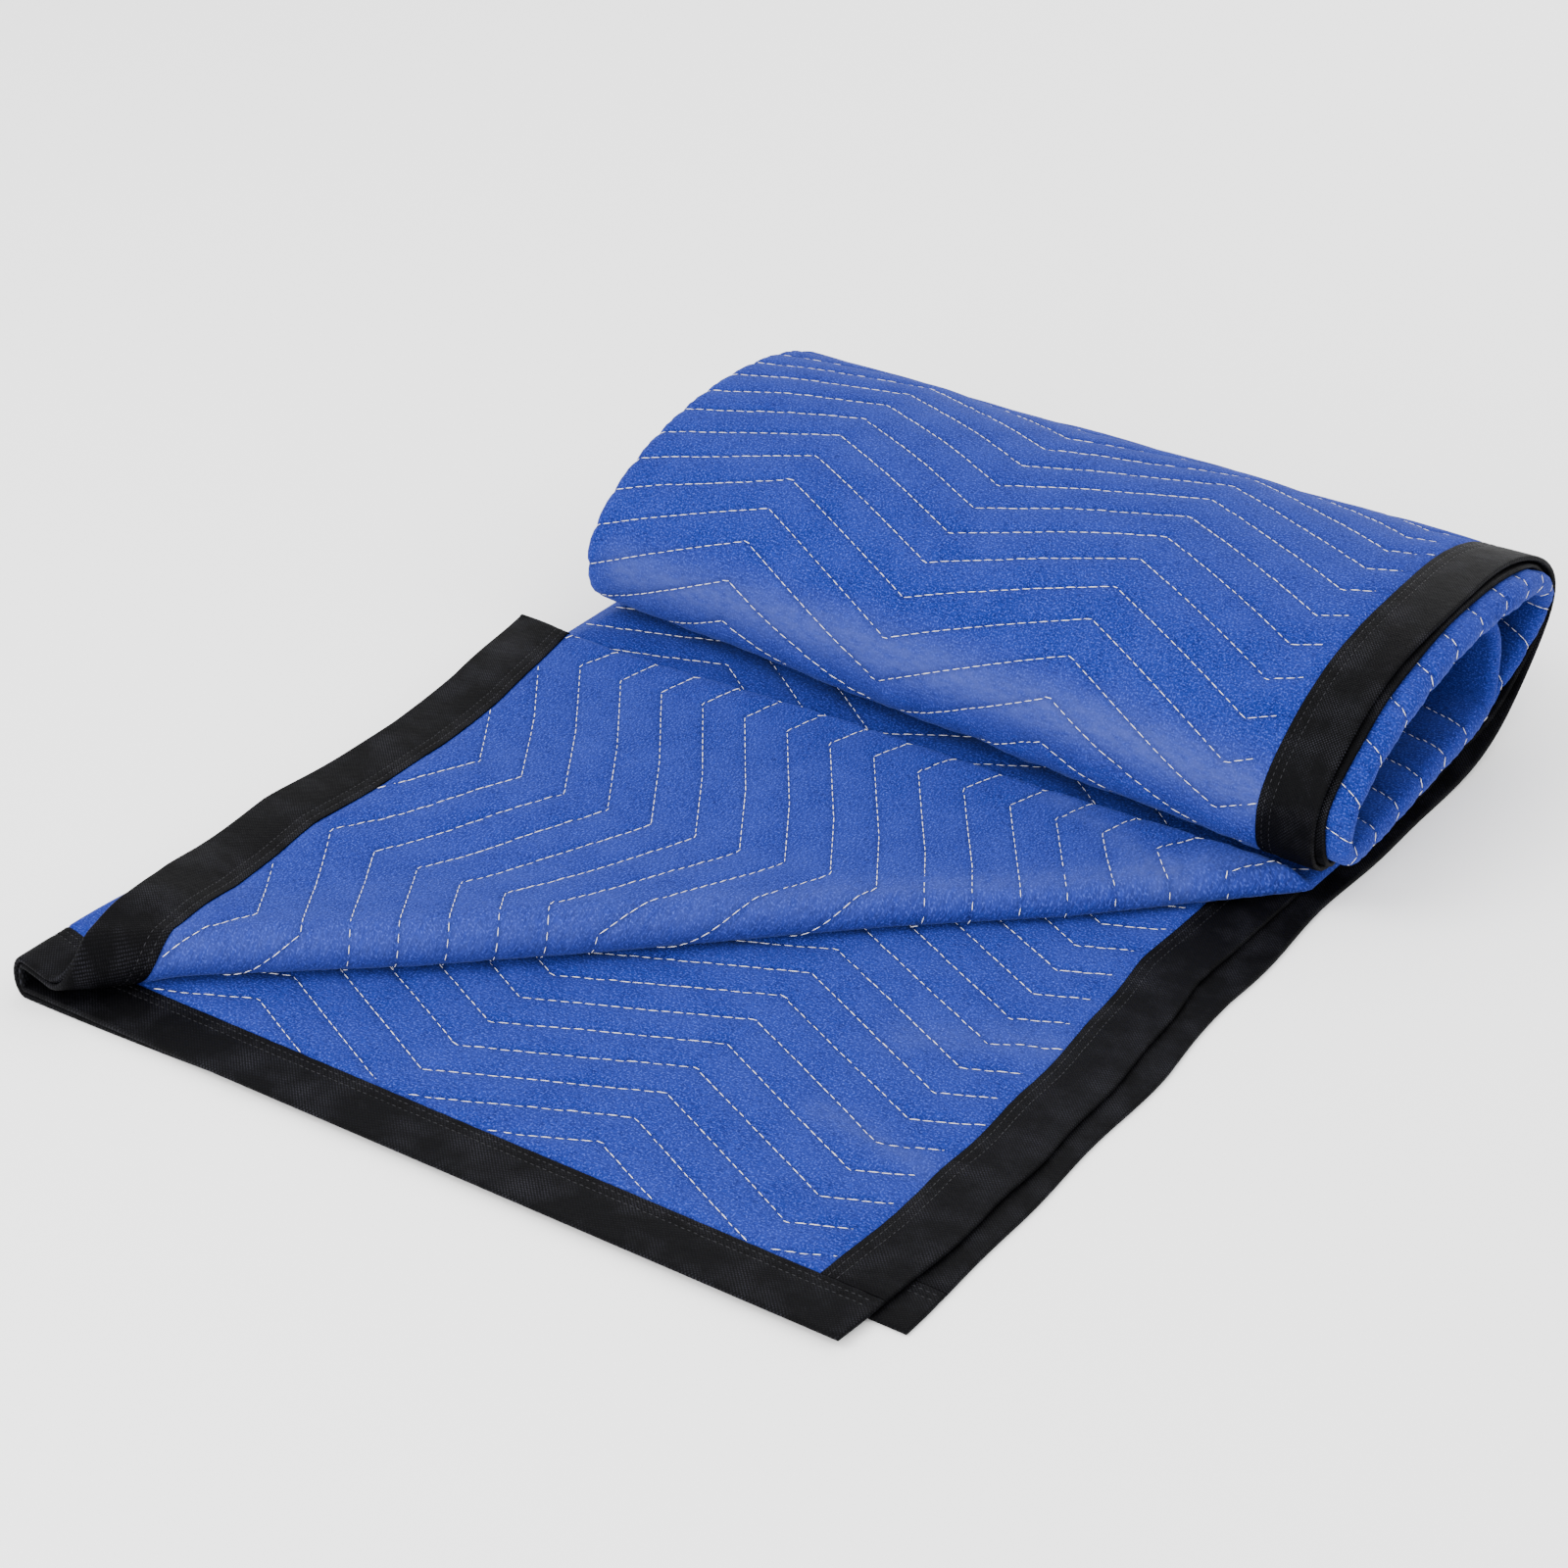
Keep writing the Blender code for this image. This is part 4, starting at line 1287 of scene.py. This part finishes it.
@dataclass
class Stitching:
    """Stitches laid end to end along rows, made from one stitch by Geometry Nodes."""

    name: str
    thread: ThreadSizes
    seed: int
    places: list[np.ndarray] = field(default_factory=list)
    runs: list[np.ndarray] = field(default_factory=list)
    ups: list[np.ndarray] = field(default_factory=list)

    def add_row(self, folded: FoldedCloth, u: np.ndarray, s: np.ndarray, w: np.ndarray) -> None:
        """Adds one stitch at each place, pointing along the row.

        Each array has three rows: the stitches' starts, middles and ends.

        Args:
            folded: Carries the flat cloth to its folded place.
            u: Places across the flat cloth.
            s: Places along it.
            w: Distances out from the middle surface, negative for the other face.
        """
        first, middle, last = [folded.placed(u[k], s[k], w[k]) for k in range(3)]
        lifted = folded.placed(u[1], s[1], w[1] + np.sign(w[1]) * 0.0005)
        run, up = last - first, lifted - middle
        self.places.append(middle)
        self.runs.append(run / np.linalg.norm(run, axis=1)[:, None])
        self.ups.append(up / np.linalg.norm(up, axis=1)[:, None])

    def build(self, material: bpy.types.Material) -> bpy.types.Object:
        """Makes the stitches.

        Args:
            material: The thread's finish.

        Returns:
            All of them, as one mesh object.
        """
        mesh = bpy.data.meshes.new(f"{self.name}_places")
        points = np.concatenate(self.places)
        mesh.from_pydata(points.tolist(), [], [])
        for label, rows in (("stitch_run", self.runs), ("stitch_up", self.ups)):
            held = mesh.attributes.new(label, "FLOAT_VECTOR", "POINT")
            held.data.foreach_set("vector", np.concatenate(rows).ravel())
        holder = added(self.name, mesh)
        tree, sockets = self.tree(material)
        modifier = holder.modifiers.new("stitches", "NODES")
        modifier.node_group = tree
        values = {
            "Stitch Length": self.thread.length,
            "Stitch Width": self.thread.width,
            "Stitch Height": self.thread.height,
            "Seed": self.seed,
        }
        for label, value in values.items():
            modifier[sockets[label]] = value
        graph = bpy.context.evaluated_depsgraph_get()
        made = bpy.data.meshes.new_from_object(holder.evaluated_get(graph))
        made.name = self.name
        holder.modifiers.remove(modifier)
        holder.data = made
        bpy.data.meshes.remove(mesh)
        made.materials.clear()
        made.materials.append(material)
        made.polygons.foreach_set("material_index", np.zeros(len(made.polygons), np.int32))
        made.polygons.foreach_set("use_smooth", np.ones(len(made.polygons), bool))
        return holder

    def tree(self, material: bpy.types.Material) -> tuple[bpy.types.NodeTree, dict[str, str]]:
        """The node tree that puts a stitch on every place.

        Args:
            material: The thread's finish.

        Returns:
            The tree, and the identifier of each of its inputs by name.
        """
        tree = bpy.data.node_groups.new(f"{self.name}_tree", "GeometryNodeTree")
        face, sockets, sizes = tree.interface, {}, ("Stitch Length", "Stitch Width", "Stitch Height")
        face.new_socket("Places", in_out="INPUT", socket_type="NodeSocketGeometry")
        for label in (*sizes, "Seed"):
            kind = "NodeSocketInt" if label == "Seed" else "NodeSocketFloat"
            sockets[label] = face.new_socket(label, in_out="INPUT", socket_type=kind).identifier
        face.new_socket("Stitches", in_out="OUTPUT", socket_type="NodeSocketGeometry")
        given = add_node(tree, "NodeGroupInput").outputs
        ball = add_node(tree, "GeometryNodeMeshUVSphere", {"Segments": 6, "Rings": 4, "Radius": 0.5})
        axes = {}
        for axis, label in (("Secondary Axis", "stitch_run"), ("Primary Axis", "stitch_up")):
            held = add_node(
                tree, "GeometryNodeInputNamedAttribute", {"Name": label}, data_type="FLOAT_VECTOR"
            )
            axes[axis] = held.outputs["Attribute"]
        turn = add_node(tree, "FunctionNodeAxesToRotation", axes, primary_axis="Z", secondary_axis="X")
        spread = {"Min": 0.86, "Max": 1.1, "Seed": given["Seed"]}
        share = add_node(tree, "FunctionNodeRandomValue", spread, data_type="FLOAT").outputs[1]
        lengths = {axis: given[label] for axis, label in zip("XYZ", sizes)}
        size = add_node(tree, "ShaderNodeCombineXYZ", lengths).outputs["Vector"]
        scaled = add_node(tree, "ShaderNodeVectorMath", {0: size, "Scale": share}, operation="SCALE")
        laid = {
            "Points": given["Places"],
            "Instance": ball.outputs["Mesh"],
            "Rotation": turn.outputs["Rotation"],
            "Scale": scaled.outputs["Vector"],
        }
        stitches = add_node(tree, "GeometryNodeInstanceOnPoints", laid).outputs["Instances"]
        real = add_node(tree, "GeometryNodeRealizeInstances", {"Geometry": stitches}).outputs["Geometry"]
        dyed = add_node(tree, "GeometryNodeSetMaterial", {"Geometry": real, "Material": material})
        add_node(tree, "NodeGroupOutput", {"Stitches": dyed.outputs["Geometry"]})
        return tree, sockets


def add_node(
    tree: bpy.types.NodeTree, kind: str, inputs: dict | None = None, **settings: object
) -> bpy.types.Node:
    """Adds a node with its settings and what feeds its inputs.

    Args:
        tree: Where it goes.
        kind: Its Blender type.
        inputs: By name or number, each input's value or the socket that it's linked from.
        settings: Its properties.

    Returns:
        The node.
    """
    node = tree.nodes.new(kind)
    for label, value in settings.items():
        setattr(node, label, value)
    for label, value in (inputs or {}).items():
        if isinstance(label, int):
            socket = node.inputs[label]
        else:
            socket = next(i for i in node.inputs if i.name == label and i.enabled)
        if isinstance(value, bpy.types.NodeSocket):
            tree.links.new(value, socket)
        else:
            socket.default_value = value
    return node


def linear(colour: str) -> tuple[float, float, float, float]:
    """Turns an sRGB hex colour into linear values.

    Args:
        colour: Such as "#4061B9".

    Returns:
        Red, green, blue and alpha.
    """
    parts = [int(colour[k : k + 2], 16) / 255.0 for k in (1, 3, 5)]
    return (*[p / 12.92 if p <= 0.04045 else ((p + 0.055) / 1.055) ** 2.4 for p in parts], 1.0)


@dataclass(frozen=True)
class Finish:
    """A fabric's colours, how it takes the light, and its fine relief in metres."""

    name: str
    main: str
    roughness: float
    specular: float
    dark: str = "#000000"
    light: str = "#FFFFFF"
    # Colour of the painted sheen, laid where the cloth bulges towards the light
    sheen_paint: str = "#FFFFFF"
    sheen: float = 0.0
    sheen_colour: str = "#FFFFFF"
    bump: float = 0.0


# Napped polyester face of the quilted cloth: heathered blue fibres, matt, with a soft sheen
BLUE_CLOTH = Finish(
    "blue_quilted_cloth",
    "#162678",
    roughness=0.9,
    specular=0.05,
    dark="#070E46",
    light="#3C4EAC",
    # Paler blue of the painted sheen
    sheen_paint="#3C4684",
    sheen=0.14,
    sheen_colour="#8090E0",
    bump=0.0003,
)
# Bonded polypropylene tape, embossed with fine dots whose tops are rubbed grey
BLACK_TAPE = Finish(
    "black_nonwoven_tape",
    "#040405",
    roughness=0.6,
    specular=0.04,
    dark="#020203",
    light="#2C2C33",
    bump=0.0002,
)
# Off-white spun polyester quilting thread, matt with a little sheen
PALE_THREAD = Finish("pale_quilting_thread", "#DEDCE4", roughness=0.6, specular=0.25, sheen=0.1)
# Black sewing thread of the tape, a little smoother than the tape
DARK_THREAD = Finish("black_tape_thread", "#16161A", roughness=0.5, specular=0.2)


def fabric(finish: Finish) -> tuple[bpy.types.Material, bpy.types.Node]:
    """A material with the finish's roughness, sheen and main colour.

    Args:
        finish: The finish.

    Returns:
        The material and its shader.
    """
    material = bpy.data.materials.new(finish.name)
    material.use_nodes = True
    shader = material.node_tree.nodes["Principled BSDF"]
    values = {
        "Base Color": linear(finish.main),
        "Roughness": finish.roughness,
        "Sheen Weight": finish.sheen,
        "Sheen Roughness": 0.45,
        "Sheen Tint": linear(finish.sheen_colour),
        "Specular IOR Level": finish.specular,
    }
    for label, value in values.items():
        shader.inputs[label].default_value = value
    return material, shader


@dataclass(frozen=True)
class Flecks:
    """Soft spots over the flat cloth, their size in metres, and what their values are turned to."""

    across: float
    along: float
    detail: float
    low: float = 0.0
    high: float = 1.0
    to: tuple[float, float] = (0.0, 1.0)

    def value(self, tree: bpy.types.NodeTree) -> bpy.types.NodeSocket:
        """Adds the spots to a material.

        Args:
            tree: The material's tree.

        Returns:
            Their value at each place.
        """
        place = add_node(tree, "ShaderNodeUVMap", uv_map="cloth_metres").outputs["UV"]
        sized = {"Vector": place, "Scale": (1.0 / self.across, 1.0 / self.along, 1.0)}
        scaled = add_node(tree, "ShaderNodeMapping", sized).outputs["Vector"]
        look = {"Vector": scaled, "Scale": 1.0, "Detail": self.detail, "Roughness": 0.6}
        spots = add_node(tree, "ShaderNodeTexNoise", look).outputs["Fac"]
        ends = {"From Min": self.low, "From Max": self.high, "To Min": self.to[0], "To Max": self.to[1]}
        return add_node(tree, "ShaderNodeMapRange", {"Value": spots, **ends}).outputs["Result"]


def laid_over(
    tree: bpy.types.NodeTree, base: str, layers: tuple[tuple[bpy.types.NodeSocket, str], ...]
) -> bpy.types.NodeSocket:
    """Lays colours over a base colour, one after another.

    Args:
        tree: The material's tree.
        base: The lowest colour, as hex.
        layers: For each colour above it, how much of it shows and its hex.

    Returns:
        The colour.
    """
    colour = linear(base)
    for share, over in layers:
        parts = {0: share, 6: colour, 7: linear(over)}
        colour = add_node(tree, "ShaderNodeMix", parts, data_type="RGBA").outputs[2]
    return colour


def embossed(
    tree: bpy.types.NodeTree,
    shader: bpy.types.Node,
    heights: tuple[bpy.types.NodeSocket, ...],
    depth: float,
) -> None:
    """Gives a shader the fine relief that two heights make together.

    Args:
        tree: The material's tree.
        shader: Its shader.
        heights: The two heights.
        depth: The relief's depth for a height of 1, in metres.
    """
    height = add_node(tree, "ShaderNodeMath", dict(enumerate(heights)), operation="ADD").outputs[0]
    bump = add_node(tree, "ShaderNodeBump", {"Height": height, "Distance": depth, "Strength": 1.0})
    tree.links.new(bump.outputs["Normal"], shader.inputs["Normal"])


def quilted_cloth() -> bpy.types.Material:
    """The blue cloth: heathered fibres, a faint mottle, paler with painted sheen where it bulges, darker
    with painted shade along the stitching.

    Returns:
        The material.
    """
    finish = BLUE_CLOTH
    material, shader = fabric(finish)
    tree = material.node_tree
    # Fibres in tufts of 4 by 0.9 mm with 1.2 mm flecks, drawn coarser than they are so that they show
    fibres = Flecks(0.0040, 0.0009, 3.0, 0.34, 0.66).value(tree)
    flecks = Flecks(0.0012, 0.0012, 1.0, 0.52, 0.74, (0.0, 0.8)).value(tree)
    # Faint clouds 30 mm wide
    mottle = Flecks(0.030, 0.030, 2.0, 0.3, 0.7, (0.0, 0.12)).value(tree)
    # Painted sheen, paler where the cloth bulges towards the light, broken up in spots of 9 by 4 mm
    sheen_patches = Flecks(0.009, 0.004, 3.0, 0.3, 0.6, (0.45, 0.9)).value(tree)
    painted_sheen = add_node(tree, "ShaderNodeAttribute", attribute_name="painted_sheen_share").outputs["Fac"]
    sheen_paint = add_node(tree, "ShaderNodeMath", {0: painted_sheen, 1: sheen_patches}, operation="MULTIPLY").outputs[0]
    layers = ((fibres, finish.main), (flecks, finish.light), (mottle, finish.light), (sheen_paint, finish.sheen_paint))
    colour = laid_over(tree, finish.dark, layers)
    # Painted shade, darker in the groove within 3.5 mm of a row of stitches
    gap = add_node(tree, "ShaderNodeAttribute", attribute_name="stitch_gap").outputs["Fac"]
    ends = {"Value": gap, "From Max": 0.0035, "To Min": 0.75}
    shade = add_node(tree, "ShaderNodeMapRange", ends).outputs["Result"]
    parts = {0: 1.0, 6: colour, 7: shade}
    shaded = add_node(tree, "ShaderNodeMix", parts, data_type="RGBA", blend_type="MULTIPLY")
    tree.links.new(shaded.outputs[2], shader.inputs["Base Color"])
    # The matted fibres' grain of 1.6 by 0.8 mm, coarser than it is so that it shows, and crumples
    # about 10 mm wide
    grain = Flecks(0.0016, 0.0008, 2.0, to=(0.0, 0.55)).value(tree)
    crumples = Flecks(0.011, 0.007, 2.0, to=(0.0, 2.2)).value(tree)
    embossed(tree, shader, (grain, crumples), finish.bump)
    return material


def edge_tape_cloth() -> bpy.types.Material:
    """The black tape: a fine dotted grain with paler fibres rubbed up on it.

    Returns:
        The material.
    """
    finish = BLACK_TAPE
    material, shader = fabric(finish)
    tree = material.node_tree
    # Embossed dots, 1.4 mm apart in diagonal rows
    pitch = 0.0014
    place = add_node(tree, "ShaderNodeUVMap", uv_map="cloth_metres").outputs["UV"]
    diagonal = (0.0, 0.0, math.radians(45.0))
    sized = {"Vector": place, "Scale": (1.0 / pitch, 1.0 / pitch, 1.0), "Rotation": diagonal}
    turned = add_node(tree, "ShaderNodeMapping", sized).outputs["Vector"]
    look = {"Vector": turned, "Scale": 1.0, "Randomness": 0.15}
    centres = add_node(tree, "ShaderNodeTexVoronoi", look).outputs["Distance"]
    ends = {"Value": centres, "From Min": 0.10, "From Max": 0.40, "To Min": 1.0, "To Max": 0.0}
    dots = add_node(tree, "ShaderNodeMapRange", ends).outputs["Result"]
    # Their tops are rubbed in clouds 30 mm wide
    wear_and_sheen = Flecks(0.030, 0.030, 4.0, 0.45, 0.68, (0.06, 1.0)).value(tree)
    tops = add_node(tree, "ShaderNodeMath", {0: dots, 1: wear_and_sheen}, operation="MULTIPLY").outputs[0]
    # Bonded fibres in tufts of 2.2 mm
    fuzz = Flecks(0.0022, 0.0022, 2.0, 0.35, 0.7).value(tree)
    colour = laid_over(tree, finish.dark, ((fuzz, finish.main), (tops, finish.light)))
    tree.links.new(colour, shader.inputs["Base Color"])
    # Crumples about 10 mm wide
    crumples = Flecks(0.010, 0.010, 2.0, to=(0.0, 4.0)).value(tree)
    embossed(tree, shader, (dots, crumples), finish.bump)
    return material


@dataclass
class Blanket:
    """The whole blanket: the quilted panel, its four lengths of edge tape and their stitches."""

    folded: FoldedCloth = field(default_factory=FoldedCloth)
    quilt_thread: ThreadSizes = ThreadSizes(0.0059, 0.00046, 0.00046, 0.00011)
    crease_lift: float = 0.00045
    tape_thread: ThreadSizes = ThreadSizes(0.0027, 0.0006, 0.0004, 0.00005)
    tape_period: float = 0.0037
    hidden_after: float = 1.25
    # Each row starts this share of a stitch after the row before it
    row_offset: float = 0.37
    tape_clear: float = 0.0005
    end_clear: float = 0.004
    corner_clear: float = 0.002

    def quilt_stitches(self, quilting: Quilting, panel: Panel, face: QuiltedFace) -> Stitching:
        """Stitches of one quilted face.

        Args:
            quilting: The rows.
            panel: The cloth that they are sewn through.
            face: The face.

        Returns:
            The stitches, not yet built.
        """
        folded, quilt = self.folded, self.folded.quilt
        made = Stitching(f"quilting_{face.span.name.lower()}", self.quilt_thread, 7)
        low, high = quilting.reach(face)
        step = quilt.stitch_period / quilt.slant
        half = 0.5 * self.quilt_thread.length / quilt.slant
        for number, start in enumerate(quilting.rows(face)):
            middle = np.arange(low + (number * self.row_offset % 1.0) * step, high, step)
            u = np.stack((middle - half, middle, middle + half))
            s = start + face.rise(folded.layer_x(face.span, u))
            clear = folded.edge_distance(u, s).min(axis=0) > folded.tape.width + self.tape_clear
            clear &= quilting.shown(face, u[1], s[1]) > 0.05
            if not clear.any():
                continue
            u, s = u[:, clear], s[:, clear]
            w = panel.half_thickness(u, s) + quilting.relief(u, s) + self.quilt_thread.lift
            # The crease's bend rounds its grooves off, so the thread lies higher there
            w = w + self.crease_lift * panel.in_crease(u, s, panel.crease_margin)
            made.add_row(folded, u, s, w)
        return made

    def tape_stitches(self, tapes: list[EdgeTape]) -> Stitching:
        """Stitches that close the edge tape, on both of its faces.

        Args:
            tapes: The four lengths of tape.

        Returns:
            The stitches, not yet built.
        """
        folded, made = self.folded, Stitching("tape_stitching", self.tape_thread, 9)
        half = 0.5 * self.tape_thread.length
        margin = folded.tape.width + self.corner_clear
        for tape in tapes:
            if tape.side is TapeSide.INNER:
                continue
            for row in folded.tape.stitch_rows:
                if tape.side is TapeSide.FRONT:
                    middle = np.arange(self.end_clear, folded.width - self.end_clear, self.tape_period)
                    u = np.stack((middle - half, middle, middle + half))
                    s = np.full(u.shape, row)
                else:
                    middle = np.arange(margin, self.hidden_after, self.tape_period)
                    s = np.stack((middle - half, middle, middle + half))
                    u = np.full(s.shape, row if tape.side is TapeSide.LOWER else folded.width - row)
                w = tape.half_thickness(u, s) + self.tape_thread.lift
                made.add_row(folded, u, s, w)
                made.add_row(folded, u, s, -w)
        return made

    def build(self) -> None:
        """Makes every piece and puts it on the frame."""
        folded = self.folded
        quilting = Quilting(folded)
        panel = Panel(folded, quilting)
        cloth, tape_cloth = quilted_cloth(), edge_tape_cloth()
        body = panel.build(cloth)
        self.fit(body, "quilted_panel")
        tapes = [EdgeTape(folded, side) for side in TapeSide]
        for tape in tapes:
            made = tape.build(tape_cloth)
            self.fit(made, tape.side.value)
        pale, dark = fabric(PALE_THREAD)[0], fabric(DARK_THREAD)[0]
        for face in quilting.faces:
            made = self.quilt_stitches(quilting, panel, face).build(pale)
            self.fit(made)
        made = self.tape_stitches(tapes).build(dark)
        self.fit(made)

    def fit(self, piece: bpy.types.Object, node: str | None = None) -> None:
        """Puts a piece on the frame.

        Args:
            piece: The piece.
            node: The solid that it stands for, if any.
        """
        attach(piece, "root")
        if node:
            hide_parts(node)
        triangles = sum(len(p.vertices) - 2 for p in piece.data.polygons)
        log.info("%s: %d triangles", piece.name, triangles)


@dataclass(frozen=True)
class Studio:
    """A pale floor, soft lights and the camera."""

    floor_size: float = 14.0
    floor_colour: str = "#FAFAFA"
    camera_place: tuple[float, float, float] = (1.07104, -1.57627, 1.1373)
    camera_right: tuple[float, float, float] = (0.8193, 0.5734, 0.0)
    camera_up: tuple[float, float, float] = (-0.2867, 0.4097, 0.8660)
    lens: float = 92.925
    sensor: float = 36.0
    sky: float = 1.8
    # place, size, power
    lights: tuple[tuple[tuple[float, float, float], float, float], ...] = (
        ((-1.2, -1.4, 2.2), 1.8, 70.0),
        ((0.5, -2.6, 0.9), 1.6, 90.0),
        ((1.6, 0.9, 2.0), 1.6, 25.0),
        ((-0.3, 2.2, 1.5), 1.6, 30.0),
    )

    def build(self) -> None:
        """Makes the floor, the lights, the sky and the camera."""
        mesh = bpy.data.meshes.new("floor")
        half = 0.5 * self.floor_size
        corners = [(-half, -half, 0.0), (half, -half, 0.0), (half, half, 0.0), (-half, half, 0.0)]
        mesh.from_pydata(corners, [], [(0, 1, 2, 3)])
        # Matt white studio paper
        paper = bpy.data.materials.new("white_paper")
        paper.use_nodes = True
        shader = paper.node_tree.nodes["Principled BSDF"]
        shader.inputs["Base Color"].default_value = linear(self.floor_colour)
        shader.inputs["Roughness"].default_value = 0.9
        shader.inputs["Specular IOR Level"].default_value = 0.1
        mesh.materials.append(paper)
        added("floor", mesh)
        for number, (place, size, power) in enumerate(self.lights):
            data = bpy.data.lights.new(f"softbox_{number}", "AREA")
            data.size = size
            data.energy = power
            light = added(data.name, data)
            light.location = place
            light.rotation_euler = (-Vector(place)).to_track_quat("-Z", "Y").to_euler()
        world = bpy.data.worlds.new("studio")
        world.use_nodes = True
        world.node_tree.nodes["Background"].inputs["Color"].default_value = (1.0, 1.0, 1.0, 1.0)
        world.node_tree.nodes["Background"].inputs["Strength"].default_value = self.sky
        bpy.context.scene.world = world
        data = bpy.data.cameras.new("camera")
        data.lens = self.lens
        data.sensor_width = self.sensor
        data.clip_start, data.clip_end = 0.05, 60.0
        camera = added("camera", data)
        right, up = Vector(self.camera_right), Vector(self.camera_up)
        turn = Matrix((right, up, right.cross(up))).transposed().to_4x4()
        camera.matrix_world = Matrix.Translation(self.camera_place) @ turn
        bpy.context.scene.camera = camera


def main() -> None:
    """Builds the blanket and its studio."""
    logging.basicConfig(level=logging.INFO, format="%(message)s")
    Studio().build()
    Blanket().build()
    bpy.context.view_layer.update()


if __name__ == "__main__":
    main()
